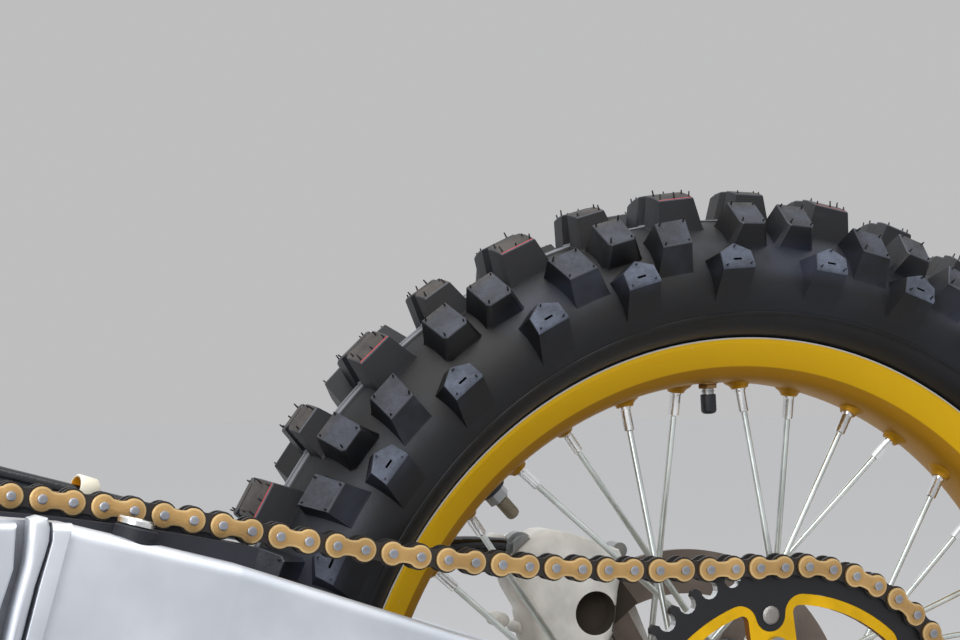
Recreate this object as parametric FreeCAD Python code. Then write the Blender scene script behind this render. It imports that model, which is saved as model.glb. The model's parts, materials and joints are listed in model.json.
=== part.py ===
import FreeCAD, Part
import math
import os
from FreeCAD import Vector

# Rear wheel and swingarm of a motocross bike, in millimetres.
# X points to the rear, Y to the right side of the bike and Z up. The origin is
# the middle of the swingarm pivot. The chain runs on the left, at negative Y.
# Wheel pieces are drawn about the axle and arm pieces along the arm's own line,
# then placed.

# Layout
pivot_to_axle = 585.0
arm_droop = 15.0
seat_gap = 0.3

# Chain and sprockets
chain_pitch = 15.875
chain_line = 78.5
roller_radius = 5.08
seat_clearance = 0.3
plate_height = 15.0
chain_inner_width = 6.6
pin_reach = 9.5
rear_teeth = 48
front_teeth = 13
tooth_width = 5.8
tooth_height = 4.5
tooth_tip = 3.0
shaft_ahead = 84.5
shaft_above = 11.3
shaft_bore_radius = 11.0
first_pin_angle = 93.16
run_flat = 45.0
front_slope = 0.115
slider_slope = 0.215
slider_rear = 330.0
slider_bend = 120.0
least_slack = 3.0

# Tyre: the section's middle stands above the bead, lug tops lie on a round about it
bead_radius = 241.3
bead_half_width = 27.3
section_height = 35.7
carcass_round = 48.0
carcass_growth = 6.5
carcass_wall = 9.0
lug_round = 64.0
lug_height = 14.0
lug_root = 2.5
tread_period = 36.0
right_side_turn = 9.0

# Rim: its steps are measured up and down from the bead seat
flange_height = 12.7
flange_half_width = 35.0
bed_drop = 16.8
bed_half_width = 11.0
shoulder_drop = 4.9
shoulder_half_width = 24.0
well_drop = 12.3
valve_angle = 93.1
valve_radius = 4.0
rim_lock_angle = 133.1

# Spokes
spoke_count = 36
first_spoke_angle = 148.09
spoke_radius = 1.9
spoke_lead = 60.0
nipple_radius = 3.4
nipple_length = 20.0
nipple_offset = 4.0
nipple_sink = 4.0
flange_hole_inset = 5.0
hub_flange_offset = 30.0
hub_flange_thickness = 6.0
hub_flange_radius = 47.0

# Hub and axle
axle_radius = 11.0
running_clearance = 0.05
bearing_radius = 21.0
bearing_width = 12.0
hub_barrel_radius = 25.0
hub_end_radius = 29.0
hub_end_inset = 2.0
hub_arm_thickness = 8.0
spacer_radius = 17.0
hub_bolt_inset = 24.0
hub_bolt_count = 6
axle_head_radius = 17.0
axle_head_height = 8.0
axle_nut_height = 14.0
washer_thickness = 2.0

# Brake
disc_face = 60.0
disc_thickness = 4.0
disc_radius = 120.0
disc_band = 28.0
disc_bolt_radius = 62.0
disc_bolt_count = 6
caliper_angle = 128.5
caliper_inner = 42.0
caliper_gap = 0.5
caliper_slot = 16.0
bracket_thickness = 10.0
pad_clearance = 0.5
piston_radius = 14.0
piston_drop = 12.0
pin_drop = 2.0
banjo_across = -10.0
banjo_rise = 48.0
banjo_face = 66.0
banjo_height = 8.0

# Rear sprocket
ring_inner_radius = 99.0
rivet_inset = 4.5
rivet_lobe = 11.0
lobe_fillet = 12.0
window_round = 8.0
rivet_count = 6
first_rivet_angle = 98.0
carrier_band = 10.0
carrier_depth = 39.0

# Swingarm
boss_radius = 22.0
pivot_bolt_radius = 8.5
collar_radius = 14.0
collar_proud = 1.5
pivot_outer = 105.0
pivot_inner = 62.0
seam = 132.0
seam_rise = 0.163
seam_bottom = -50.0
seam_outer = 120.0
seam_inner = 70.0
leg_outer = 124.0
leg_full = 235.0
leg_high = 44.0
leg_round = 7.0
end_start = 520.0
end_reach = 55.0
end_gap = 15.5
end_width = 32.0
end_height = 27.0
slot_front = 25.0
slot_rear = 26.0
block_depth = 10.0
block_proud = 1.0
block_length = 46.0
block_height = 38.0
recess_front = 37.0
recess_rear = 37.0
adjuster_radius = 4.0
cross_front = 98.0
cross_top = 28.0
cross_bottom = -38.0
link_bore_radius = 6.0

# Chain slider and guide
slider_wall = 3.5
slider_outer = 97.0
slider_inner = 60.0
slider_end = 238.0
screw_behind_seam = 40.6
slider_screw_line = 107.0
guide_ahead = 160.0
guide_length = 60.0
guide_height = 36.0
guide_slot_height = 19.5
guide_drop = 46.0

# Brake hose
hose_radius = 5.5
clip_length = 19.0
clip_wall = 2.2
clip_foot = 30.0


def polygon(points):
    corners = [Vector(*p) for p in points]
    return Part.Face(Part.makePolygon(corners + corners[:1]))


def prism_y(outline, y_low, y_high):
    face = polygon([(x, y_low, z) for x, z in outline])
    return face.extrude(Vector(0, y_high - y_low, 0))


def prism_z(outline, z_low, z_high):
    face = polygon([(x, y, z_low) for x, y in outline])
    return face.extrude(Vector(0, 0, z_high - z_low))


def cylinder_y(x, z, y_low, y_high, radius):
    return Part.makeCylinder(radius, y_high - y_low, Vector(x, y_low, z), Vector(0, 1, 0))


def ring_y(x, z, y_low, y_high, outer, inner):
    return cylinder_y(x, z, y_low, y_high, outer).cut(cylinder_y(x, z, y_low, y_high, inner))


def revolve_y(profile):
    face = polygon([(radius, y, 0) for y, radius in profile])
    return face.revolve(Vector(0, 0, 0), Vector(0, 1, 0), 360)


def polar(radius, degrees):
    angle = math.radians(degrees)
    return radius * math.cos(angle), radius * math.sin(angle)


def at_wheel(shape):
    moved = shape.copy()
    moved.translate(Vector(wheel_x, 0, wheel_z))
    return moved


def on_arm(shape):
    turned = shape.copy()
    turned.rotate(Vector(0, 0, 0), Vector(0, 1, 0), arm_droop)
    return turned


def mirror_y(shape):
    return shape.mirror(Vector(0, 0, 0), Vector(0, 1, 0))


def arm_place(x, z):
    """Place along and above the arm's own line of a point given in the frame."""
    return x * droop_cos - z * droop_sin, x * droop_sin + z * droop_cos


def save(name, shape):
    shape.exportStep("parts/" + name + ".step")


droop_cos = math.cos(math.radians(arm_droop))
droop_sin = math.sin(math.radians(arm_droop))
wheel_x = pivot_to_axle * droop_cos
wheel_z = -pivot_to_axle * droop_sin
section_radius = bead_radius + section_height
flange_radius = bead_radius + flange_height
bed_radius = bead_radius - bed_drop
shoulder_radius = bead_radius - shoulder_drop
well_radius = bead_radius - well_drop
rivet_radius = ring_inner_radius - rivet_inset
carrier_center_radius = ring_inner_radius - carrier_depth
hub_bolt_radius = ring_inner_radius - hub_bolt_inset
seam_top = boss_radius + seam_rise * seam
slider_screw_place = seam + screw_behind_seam
hub_right = disc_face - hub_end_inset
end_inner = chain_line + end_gap
end_outer = end_inner + end_width
beyond = 2 * end_outer
caliper_outer = end_inner - bracket_thickness - caliper_gap
piston_place = disc_radius - piston_drop
banjo_up = disc_radius + banjo_rise
rear_pitch_radius = chain_pitch / 2 / math.sin(math.pi / rear_teeth)
front_pitch_radius = chain_pitch / 2 / math.sin(math.pi / front_teeth)


# Chain path: pins one pitch apart, round the loop from the rear sprocket's top

def upper_run_height(x):
    """Height above the axle of the upper run, at x from the axle."""
    if x > -run_flat:
        return rear_pitch_radius
    sagging = slider_rear - run_flat
    if x > -slider_rear:
        return rear_pitch_radius + slider_slope / 2 * (x + run_flat) ** 2 / sagging
    height = rear_pitch_radius + slider_slope / 2 * sagging
    step = -slider_rear - x
    easing = (slider_slope - front_slope) / 2 / slider_bend
    if step < slider_bend:
        return height + slider_slope * step - easing * step ** 2
    height += (slider_slope + front_slope) / 2 * slider_bend
    return height + front_slope * (step - slider_bend)


def step_forward(x):
    """The place one pitch ahead along the upper run."""
    height = upper_run_height(x)
    low = x - chain_pitch
    high = x - chain_pitch / 2
    for _ in range(50):
        middle = (low + high) / 2
        reach = math.hypot(x - middle, upper_run_height(middle) - height)
        if reach > chain_pitch:
            low = middle
        else:
            high = middle
    return low


def chain_pins():
    """Pin places in the frame, clockwise as seen from the left side."""
    shaft = (-shaft_ahead, shaft_above)
    pins = []
    x, z = polar(rear_pitch_radius, first_pin_angle)
    while True:
        pins.append((wheel_x + x, wheel_z + z))
        x = step_forward(x)
        z = upper_run_height(x)
        away = math.hypot(wheel_x + x - shaft[0], wheel_z + z - shaft[1])
        if wheel_x + x < shaft[0] + 5 or away < front_pitch_radius:
            break
    last = pins[-1]
    gap = math.hypot(last[0] - shaft[0], last[1] - shaft[1])
    reach = (gap ** 2 + front_pitch_radius ** 2 - chain_pitch ** 2) / 2 / gap / front_pitch_radius
    turn = math.degrees(math.acos(max(-1, min(1, reach))))
    angle = math.degrees(math.atan2(last[1] - shaft[1], last[0] - shaft[0])) + turn
    front_angle = angle
    while angle < 255:
        x, z = polar(front_pitch_radius, angle)
        pins.append((shaft[0] + x, shaft[1] + z))
        angle += 360.0 / front_teeth
    leave = pins[-1]
    wrap = round((first_pin_angle + 91) * rear_teeth / 360)
    bottom_angle = first_pin_angle - wrap * 360.0 / rear_teeth
    x, z = polar(rear_pitch_radius, bottom_angle)
    bottom = (wheel_x + x, wheel_z + z)
    span = math.hypot(bottom[0] - leave[0], bottom[1] - leave[1])
    links = math.ceil((span + least_slack) / chain_pitch)
    if (len(pins) + links - 1 + wrap) % 2:
        links += 1
    low, high = 1e-6, 2 * math.pi / links * 0.5
    for _ in range(60):
        bend = (low + high) / 2
        radius = chain_pitch / 2 / math.sin(bend / 2)
        if 2 * radius * math.sin(links * bend / 2) > span:
            low = bend
        else:
            high = bend
    slope = math.atan2(bottom[1] - leave[1], bottom[0] - leave[0])
    heading = slope - links * bend / 2 + bend / 2
    x, z = leave
    for _ in range(links - 1):
        x += chain_pitch * math.cos(heading)
        z += chain_pitch * math.sin(heading)
        heading += bend
        pins.append((x, z))
    for k in range(wrap):
        x, z = polar(rear_pitch_radius, bottom_angle + k * 360.0 / rear_teeth)
        pins.append((wheel_x + x, wheel_z + z))
    return pins, front_angle


def tangent(radius, x, z, above):
    """Where a line from a point touches a circle about the origin."""
    away = math.hypot(x, z)
    turn = math.degrees(math.acos(radius / away))
    angle = math.degrees(math.atan2(z, x)) + (turn if above else -turn)
    return polar(radius, angle)


def path_offset(places, distance):
    """The chain path moved outwards by a distance, one point for each pin."""
    count = len(places)
    moved = []
    for k in range(count):
        before = places[k - 1]
        after = places[(k + 1) % count]
        along = (after[0] - before[0], after[1] - before[1])
        length = math.hypot(*along)
        x = places[k][0] + along[1] / length * distance
        z = places[k][1] - along[0] / length * distance
        moved.append((x, z))
    return moved


def round_places(count, radius, first=0.0):
    """Places evenly round a circle, with the angle of each."""
    places = []
    for k in range(count):
        angle = first + k * 360 / count
        places.append(polar(radius, angle) + (angle,))
    return places


def turned(shape, degrees):
    """A shape turned about the axle so that its angles grow."""
    moved = shape.copy()
    moved.rotate(Vector(0, 0, 0), Vector(0, 1, 0), -degrees)
    return moved


# Chain and sprockets

def chain():
    half = plate_height / 2 - 1
    outer = path_offset(chain_places, half)
    inner = path_offset(chain_places, -half)
    sides = []
    for side in (-1, 1):
        ends = (side * chain_inner_width / 2 - chain_line, side * pin_reach - chain_line)
        band = prism_y(outer, min(ends), max(ends))
        sides.append(band.cut(prism_y(inner, min(ends), max(ends))))
    half_width = chain_inner_width / 2
    rollers = []
    for x, z in chain_places[::4]:
        if clear_of_teeth(x, z):
            rollers.append(cylinder_y(x, z, -chain_line - half_width, -chain_line + half_width,
                                      roller_radius))
    return sides[0].multiFuse(sides[1:] + rollers)


def clear_of_teeth(x, z):
    """Whether a roller there stays out of both sprockets' turning teeth."""
    reach = tooth_height + roller_radius + 1
    rear = math.hypot(x - wheel_x, z - wheel_z) > rear_pitch_radius + reach
    front = math.hypot(x + shaft_ahead, z - shaft_above) > front_pitch_radius + reach
    return rear and front


def toothed_face(count, pitch_radius, first_angle, y):
    """Roller seats on the pitch circle joined by flat topped teeth."""
    seat = roller_radius + seat_clearance
    step = 360 / count
    tip_radius = pitch_radius + tooth_height
    tip_half = math.degrees(tooth_tip / 2 / tip_radius)
    lean = math.radians(20)
    teeth = []
    for k in range(count):
        angle = first_angle + k * step
        x, z = polar(1, angle)
        out = Vector(x, 0, z)
        side = Vector(-z, 0, x)
        center = out * pitch_radius + Vector(0, y, 0)
        start = center - side * seat * math.cos(lean) + out * seat * math.sin(lean)
        finish = center + side * seat * math.cos(lean) + out * seat * math.sin(lean)
        x, z = polar(tip_radius, angle - step / 2 + tip_half)
        before = Vector(x, y, z)
        x, z = polar(tip_radius, angle + step / 2 - tip_half)
        teeth.append((before, start, center - out * seat, finish, Vector(x, y, z)))
    edges = []
    for k, (before, start, bottom, finish, after) in enumerate(teeth):
        edges.append(Part.LineSegment(before, start).toShape())
        edges.append(Part.Arc(start, bottom, finish).toShape())
        edges.append(Part.LineSegment(finish, after).toShape())
        edges.append(Part.LineSegment(after, teeth[(k + 1) % count][0]).toShape())
    return Part.Face(Part.Wire(edges))


def lobed_opening():
    """Inner edge of the toothed ring's left half: rivet lobes flow into it by fillets."""
    reach = ring_inner_radius - lobe_fillet
    gap = rivet_lobe + lobe_fillet
    share = (reach ** 2 + rivet_radius ** 2 - gap ** 2) / 2 / reach / rivet_radius
    turn = math.degrees(math.acos(share))
    points = []
    for x, z, angle in rivet_places:
        lobe = Vector(x, sprocket_left, z)
        for side in (-1, 1):
            x, z = polar(1, angle + side * turn)
            out = Vector(x, 0, z)
            center = out * reach + Vector(0, sprocket_left, 0)
            toward = (lobe - center) * (lobe_fillet / gap)
            middle = out * lobe_fillet + toward
            middle.multiply(lobe_fillet / middle.Length)
            bend = [out * lobe_fillet, middle, toward]
            points += [center + step for step in bend[::-side]]
            if side < 0:
                points.append(lobe - out_from_axle(angle) * rivet_lobe)
        points.append(out_from_axle(angle + 180 / rivet_count) * ring_inner_radius
                      + Vector(0, sprocket_left, 0))
    edges = []
    for k in range(0, len(points), 2):
        ends = (points[k], points[k + 1], points[(k + 2) % len(points)])
        edges.append(Part.Arc(*ends).toShape())
    return Part.Face(Part.Wire(edges)).extrude(Vector(0, tooth_width / 2, 0))


def out_from_axle(angle):
    x, z = polar(1, angle)
    return Vector(x, 0, z)


def sprocket_ring():
    face = toothed_face(rear_teeth, rear_pitch_radius, first_pin_angle, sprocket_left)
    ring = face.extrude(Vector(0, tooth_width, 0))
    middle = sprocket_left + tooth_width / 2
    ring = ring.cut(cylinder_y(0, 0, middle, sprocket_right, ring_inner_radius))
    ring = ring.cut(lobed_opening())
    holes = [cylinder_y(x, z, sprocket_left, middle, 3) for x, z, angle in rivet_places]
    return ring.cut(Part.makeCompound(holes))


def sprocket_carrier():
    disc = ring_y(0, 0, sprocket_left, sprocket_right, ring_inner_radius,
                  carrier_center_radius)
    band_inner = ring_inner_radius - carrier_band
    inner_edge = carrier_center_radius + 9
    windows = []
    for x, z, angle in rivet_places:
        middle = angle + 180 / rivet_count
        wedge = [polar(30, middle - 14), polar(140, middle - 21)]
        wedge += [polar(140, middle + 21), polar(30, middle + 14)]
        opening = ring_y(0, 0, sprocket_left, sprocket_right, band_inner, inner_edge)
        opening = opening.common(prism_y(wedge, sprocket_left, sprocket_right))
        windows.append(opening.makeFillet(window_round, across_edges(opening)))
    disc = disc.cut(Part.makeCompound(windows)).cut(sprocket_ring())
    cuts = []
    for x, z, angle in rivet_places:
        cuts.append(cylinder_y(x, z, sprocket_left, sprocket_right, 3))
    for x, z, angle in hub_bolt_places:
        cuts.append(cylinder_y(x, z, sprocket_left, sprocket_right, 4))
    for cutter in cuts:
        disc = disc.cut(cutter)
    return disc


def across_edges(shape):
    """A shape's corner edges that run straight across the bike."""
    corners = []
    for edge in shape.Edges:
        ends = [vertex.Point for vertex in edge.Vertexes]
        if len(ends) == 2 and math.hypot(ends[0].x - ends[1].x, ends[0].z - ends[1].z) < 1e-3:
            corners.append(edge)
    return corners


def sprocket_rivets():
    rivets = []
    for x, z, angle in rivet_places:
        body = cylinder_y(x, z, sprocket_left, sprocket_right, 3)
        head = cylinder_y(x, z, sprocket_left - 1.6, sprocket_left, 5.5)
        tail = cylinder_y(x, z, sprocket_right, sprocket_right + 1.2, 5)
        rivets.append(body.multiFuse([head, tail]))
    return Part.makeCompound(rivets)


def sprocket_bolts():
    bolts = []
    back = sprocket_right + hub_arm_thickness
    for x, z, angle in hub_bolt_places:
        body = cylinder_y(x, z, sprocket_left, back, 4)
        head = cylinder_y(x, z, sprocket_left - 4, sprocket_left, 7)
        nut = cylinder_y(x, z, back, back + 7, 7)
        bolts.append(body.multiFuse([head, nut]))
    return Part.makeCompound(bolts)


def front_sprocket():
    face = toothed_face(front_teeth, front_pitch_radius, front_pin_angle, sprocket_left)
    wheel = face.extrude(Vector(0, tooth_width, 0))
    boss = cylinder_y(0, 0, sprocket_left, sprocket_right + 3, 17)
    bore = cylinder_y(0, 0, sprocket_left, sprocket_right + 3, shaft_bore_radius)
    shape = wheel.fuse(boss).cut(bore)
    shape.translate(Vector(-shaft_ahead, 0, shaft_above))
    return shape


# Wheel

# Each kind of lug: its top's outline (along, across), its foot's a lug's height lower,
# the lean of its place round the section, its top's height over the lug round, its angles
side_top = [(10.4, 7.2), (10, -3.3), (0, -8.6), (-10, -3.3), (-10.4, 7.2)]
side_foot = [(13, 19.5), (13.5, -4), (0.5, -10.5), (-10.5, -4.5), (-8.5, 19.5)]
outer_top = [(11, 9.3), (8.3, -9.3), (-11.5, -9.3), (-7.8, 9.3)]
outer_foot = [(14.6, 18), (11.5, -11), (-12.5, -11), (-8, 18)]
inner_top = [(8.6, 11), (8.6, -11), (-9.3, -11), (-9.3, 8), (-7, 11)]
inner_foot = [(12.5, 13), (12, -12.5), (-12.4, -12.5), (-13, 11), (-11, 13)]
lug_kinds = (
    (side_top, side_foot, 67.5, 1.0, (82.4, 94.4, 106.4)),
    (outer_top, outer_foot, 48.3, 0.6, (136.5,)),
    ([(-x, y) for x, y in outer_top[::-1]], [(-x, y) for x, y in outer_foot[::-1]],
     48.3, 0.6, (148.5,)),
    (inner_top, inner_foot, 37.7, 0.8, (121.3, 127.0, 142.4)),
)
# The middle row's lugs: half their reach across and along the tread, and their angles
center_lugs = ((22.5, 11.4, (133.5, 151.5)), (17.5, 9.0, (142.7, 160.7)))
center_rise = 2.9
center_round = 55.0
notch_depth = 4.0


def carcass_points(thinner, angles):
    """Places on the carcass's section, at angles from its crown."""
    points = []
    for angle in angles:
        reach = carcass_round + carcass_growth * (angle / 90) ** 1.7 - thinner
        up, out = polar(reach, angle)
        points.append((out, section_radius + up))
    return points


def block_lug(top, foot, height):
    """A lug about its own place: X along the tread, Y towards the rim, Z outwards."""
    sink = lug_round - carcass_round + lug_root
    share = sink / lug_height
    upper = [Vector(x, y, height) for x, y in top]
    lower = []
    for (x, y), (foot_x, foot_y) in zip(top, foot):
        lower.append(Vector(x + (foot_x - x) * share, y + (foot_y - y) * share, height - sink))
    rings = [Part.makePolygon(ring + ring[:1]) for ring in (lower, upper)]
    return Part.makeLoft(rings, True, True)


def center_lug(reach, half_length):
    """A lug of the middle row, crowned across, with a notch in each end."""
    low = carcass_round - lug_round - lug_root
    edge = center_rise - reach ** 2 / 2 / center_round
    middle = center_rise - reach ** 2 / 8 / center_round
    half = [(0, center_rise), (reach / 2, middle), (reach, edge), (reach + 4, low)]
    section = half + [(-y, z) for y, z in reversed(half[1:])]
    across = polygon([(-2 * half_length, y, z) for y, z in section])
    across = across.extrude(Vector(4 * half_length, 0, 0))
    foot = half_length + 3.6
    along = [(-foot, low), (-half_length, center_rise), (half_length, center_rise), (foot, low)]
    lug = across.common(prism_y(along, -reach - 4, reach + 4))
    for end in (-1, 1):
        tip = end * (half_length - notch_depth)
        mouth = end * (foot + 2)
        spread = (foot + 2 - half_length + notch_depth) * 1.2
        notch = prism_z([(tip, 0), (mouth, spread), (mouth, -spread)], -2 * notch_depth, 4)
        lug = lug.cut(notch)
    return lug


def lug_place(lug, angle, lean):
    """A lug moved to its place on the left half of the tread."""
    x, z = polar(1, angle)
    rise, aside = polar(1, lean)
    out = Vector(x, 0, z)
    along = Vector(-z, 0, x)
    normal = out * rise - Vector(0, aside, 0)
    across = normal.cross(along)
    base = out * section_radius + normal * lug_round
    rows = []
    for column in zip(along, across, normal, base):
        rows.extend(column)
    moved = lug.copy()
    moved.Placement = FreeCAD.Placement(FreeCAD.Matrix(*rows, 0, 0, 0, 1))
    return moved


def tread_lugs():
    left = []
    middle = []
    for turn in range(round(360 / tread_period)):
        for top, foot, lean, height, angles in lug_kinds:
            for angle in angles:
                place = angle + turn * tread_period
                left.append(lug_place(block_lug(top, foot, height), place, lean))
        for reach, half_length, angles in center_lugs:
            for angle in angles:
                place = angle + turn * tread_period
                middle.append(lug_place(center_lug(reach, half_length), place, 0))
    return left + [turned(mirror_y(lug), right_side_turn) for lug in left] + middle


def tyre():
    outer = [(bead_half_width, bead_radius), (bead_half_width, flange_radius - 2)]
    lip = bead_half_width + 1.3
    outer += [(lip, flange_radius + 0.8), (44, flange_radius + 4.8), (52, flange_radius + 12)]
    outer += carcass_points(0, (84, 60, 36, 12))
    heel = bead_half_width - 8.3
    inner = [(heel, bead_radius), (heel, bead_radius + 5.7), (42, flange_radius + 11)]
    inner += carcass_points(carcass_wall, (84, 54, 18))
    profile = outer + [(-y, r) for y, r in reversed(outer)]
    profile += [(-y, r) for y, r in inner] + [(y, r) for y, r in reversed(inner)]
    return revolve_y(profile).multiFuse(tread_lugs())


def rim():
    outside = [(0, bed_radius), (bed_half_width, bed_radius)]
    outside += [(shoulder_half_width, shoulder_radius)]
    outside += [(flange_half_width, flange_radius - 5), (flange_half_width, flange_radius)]
    inside = [(bead_half_width + 1.7, flange_radius), (bead_half_width, flange_radius - 2)]
    inside += [(bead_half_width, bead_radius)]
    inside += [(19, bead_radius), (12, well_radius), (0, well_radius)]
    half = outside + inside
    profile = half + [(-y, r) for y, r in reversed(half[1:-1])]
    shape = revolve_y(profile)
    holes = []
    for k in range(spoke_count):
        hub_end, rim_end, side = spoke_ends(k)
        way = hub_end - rim_end
        way.normalize()
        start = rim_end - way * nipple_sink
        holes.append(Part.makeCylinder(nipple_radius, nipple_sink * 3, start, way))
    for angle in (valve_angle, rim_lock_angle):
        holes.append(inward_rod(angle, valve_radius, well_radius + 4, bed_radius - 4))
    return shape.cut(Part.makeCompound(holes))


def inward_rod(angle, radius, start, finish):
    """A rod pointing at the axle, from one distance to a lesser one."""
    x, z = polar(1, angle)
    out = Vector(x, 0, z)
    return Part.makeCylinder(radius, start - finish, out * start, -out)


def valve_stem():
    """Tube valve with its foot, locknut and cap."""
    nut_top = bed_radius - seat_gap
    stem = inward_rod(valve_angle, valve_radius, well_radius + 2, bed_radius - 9)
    foot = inward_rod(valve_angle, valve_radius * 2, well_radius + 2.3, well_radius + seat_gap)
    nut = inward_rod(valve_angle, valve_radius + 2.2, nut_top, nut_top - 4)
    cap = inward_rod(valve_angle, valve_radius + 0.6, bed_radius - 6.5, bed_radius - 17)
    return stem.multiFuse([foot, nut, cap])


def rim_lock():
    """Bolt that holds the tyre's bead, with its shoe inside the rim and its nut."""
    nut_top = bed_radius - seat_gap
    bolt = inward_rod(rim_lock_angle, valve_radius, well_radius + 2, bed_radius - 29)
    shoe = inward_rod(rim_lock_angle, valve_radius * 2, well_radius + 2.3, well_radius + seat_gap)
    collar = inward_rod(rim_lock_angle, valve_radius + 3, nut_top, nut_top - 8)
    nut = inward_rod(rim_lock_angle, valve_radius + 2.4, nut_top - 8, nut_top - 16)
    return bolt.multiFuse([shoe, collar, nut])


def spoke_ends(k):
    """Hub end and rim end of a spoke, in wheel coordinates."""
    side = -1 if k % 2 == 0 else 1
    angle = first_spoke_angle - k * 360 / spoke_count
    turn = 1 if k % 4 < 2 else -1
    reach = hub_flange_thickness / 2 + spoke_radius + (2.0 if turn > 0 else 0.1)
    x, z = polar(hub_flange_radius - flange_hole_inset, angle + turn * spoke_lead)
    hub_end = Vector(x, side * (hub_flange_offset + turn * reach), z)
    x, z = polar(bed_radius, angle)
    return hub_end, Vector(x, side * nipple_offset, z), side


def spokes(wanted):
    rods = []
    for k in range(spoke_count):
        hub_end, rim_end, side = spoke_ends(k)
        if side == wanted:
            way = rim_end - hub_end
            length = way.Length - nipple_length + nipple_sink
            rods.append(Part.makeCylinder(spoke_radius, length, hub_end, way))
    return Part.makeCompound(rods)


def nipples():
    pieces = []
    for k in range(spoke_count):
        hub_end, rim_end, side = spoke_ends(k)
        way = hub_end - rim_end
        way.normalize()
        start = rim_end - way * nipple_sink
        pieces.append(Part.makeCylinder(nipple_radius, nipple_length, start, way))
    return Part.makeCompound(pieces)


def hub():
    flange_near = hub_flange_offset - hub_flange_thickness / 2
    flange_far = hub_flange_offset + hub_flange_thickness / 2
    flange = [(flange_near, hub_barrel_radius), (flange_near, hub_flange_radius)]
    flange += [(flange_far, hub_flange_radius), (flange_far, hub_end_radius)]
    bore = bearing_radius - 6
    left_seat = sprocket_right + bearing_width
    right_seat = hub_right - bearing_width
    profile = [(sprocket_right, bearing_radius), (sprocket_right, hub_end_radius)]
    profile += [(-y, r) for y, r in reversed(flange)] + flange
    profile += [(hub_right, hub_end_radius), (hub_right, bearing_radius)]
    profile += [(right_seat, bearing_radius), (right_seat, bore)]
    profile += [(left_seat, bore), (left_seat, bearing_radius)]
    arms = []
    holes = []
    sprocket_back = sprocket_right + hub_arm_thickness
    disc_back = disc_face - hub_arm_thickness
    for x, z, angle in hub_bolt_places:
        outline = [(bearing_radius + 4, -10), (hub_bolt_radius, -10)]
        outline += [(hub_bolt_radius, 10), (bearing_radius + 4, 10)]
        arms.append(turned(prism_y(outline, sprocket_right, sprocket_back), angle))
        arms.append(cylinder_y(x, z, sprocket_right, sprocket_back, 10))
        holes.append(cylinder_y(x, z, sprocket_right, sprocket_back, 4))
    for x, z, angle in disc_bolt_places:
        outline = [(bearing_radius + 4, -9), (disc_bolt_radius, -9)]
        outline += [(disc_bolt_radius, 9), (bearing_radius + 4, 9)]
        arms.append(turned(prism_y(outline, disc_back, disc_face), angle))
        arms.append(cylinder_y(x, z, disc_back, disc_face, 9))
        holes.append(cylinder_y(x, z, disc_back, disc_face, 3))
    shape = revolve_y(profile).multiFuse(arms)
    for hole in holes:
        shape = shape.cut(hole)
    return shape


def hub_bearings():
    inner = axle_radius + running_clearance
    left = ring_y(0, 0, sprocket_right, sprocket_right + bearing_width, bearing_radius, inner)
    right = ring_y(0, 0, hub_right - bearing_width, hub_right, bearing_radius, inner)
    return Part.makeCompound([left, right])


def brake_disc():
    low = disc_face
    high = disc_face + disc_thickness
    band = ring_y(0, 0, low, high, disc_radius, disc_radius - disc_band)
    arms = []
    holes = []
    for x, z, angle in disc_bolt_places:
        reach = disc_radius - disc_band + 2
        outline = [(disc_bolt_radius, -8), (reach, -8), (reach, 8), (disc_bolt_radius, 8)]
        arms.append(turned(prism_y(outline, low, high), angle))
        arms.append(cylinder_y(x, z, low, high, 9))
        holes.append(cylinder_y(x, z, low, high, 3))
    arms.append(ring_y(0, 0, low, high, disc_bolt_radius + 4, disc_bolt_radius - 6))
    disc = band.multiFuse(arms)
    for hole in holes:
        disc = disc.cut(hole)
    return disc


def disc_bolts():
    bolts = []
    top = disc_face + disc_thickness
    for x, z, angle in disc_bolt_places:
        body = cylinder_y(x, z, disc_face - hub_arm_thickness, top, 3)
        bolts.append(body.fuse(cylinder_y(x, z, top, top + 3, 5.5)))
    return Part.makeCompound(bolts)


# Axle

def axle():
    left = end_outer + block_proud + washer_thickness + axle_nut_height + 3
    right = end_outer + block_proud
    shaft = cylinder_y(0, 0, -left, right, axle_radius)
    return shaft.fuse(cylinder_y(0, 0, right, right + axle_head_height, axle_head_radius))


def axle_nut():
    low = -end_outer - block_proud - washer_thickness - axle_nut_height
    flat = 16.0
    corners = [polar(flat / math.cos(math.pi / 6), 30 + 60 * k) for k in range(6)]
    nut = prism_y(corners, low, low + axle_nut_height)
    return nut.cut(cylinder_y(0, 0, low, low + axle_nut_height, axle_radius))


def axle_washer():
    high = -end_outer - block_proud
    return ring_y(0, 0, high - washer_thickness, high, 18, axle_radius)


def left_spacer():
    return ring_y(0, 0, -end_inner, sprocket_right - seat_gap, spacer_radius, axle_radius)


def right_spacer():
    return ring_y(0, 0, hub_right + seat_gap, end_inner - bracket_thickness,
                  spacer_radius, axle_radius)


# Swingarm

def cheek():
    """Left side of the front casting, from the pivot eye to the seam."""
    top = tangent(boss_radius, seam, seam_top, True)
    bottom = tangent(boss_radius, seam, seam_bottom, False)
    start = Vector(top[0], -beyond, top[1])
    finish = Vector(bottom[0], -beyond, bottom[1])
    front = Vector(-boss_radius, -beyond, 0)
    upper = Vector(seam, -beyond, seam_top)
    lower = Vector(seam, -beyond, seam_bottom)
    edges = [Part.Arc(start, front, finish).toShape()]
    for one, other in ((finish, lower), (lower, upper), (upper, start)):
        edges.append(Part.LineSegment(one, other).toShape())
    side = Part.Face(Part.Wire(edges)).extrude(Vector(0, beyond, 0))
    plan = [(-boss_radius - 1, -pivot_outer), (40, -pivot_outer), (seam, -seam_outer)]
    plan += [(seam, -seam_inner), (60, -pivot_inner), (-boss_radius - 1, -pivot_inner)]
    return side.common(prism_z(plan, -beyond, beyond))


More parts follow.
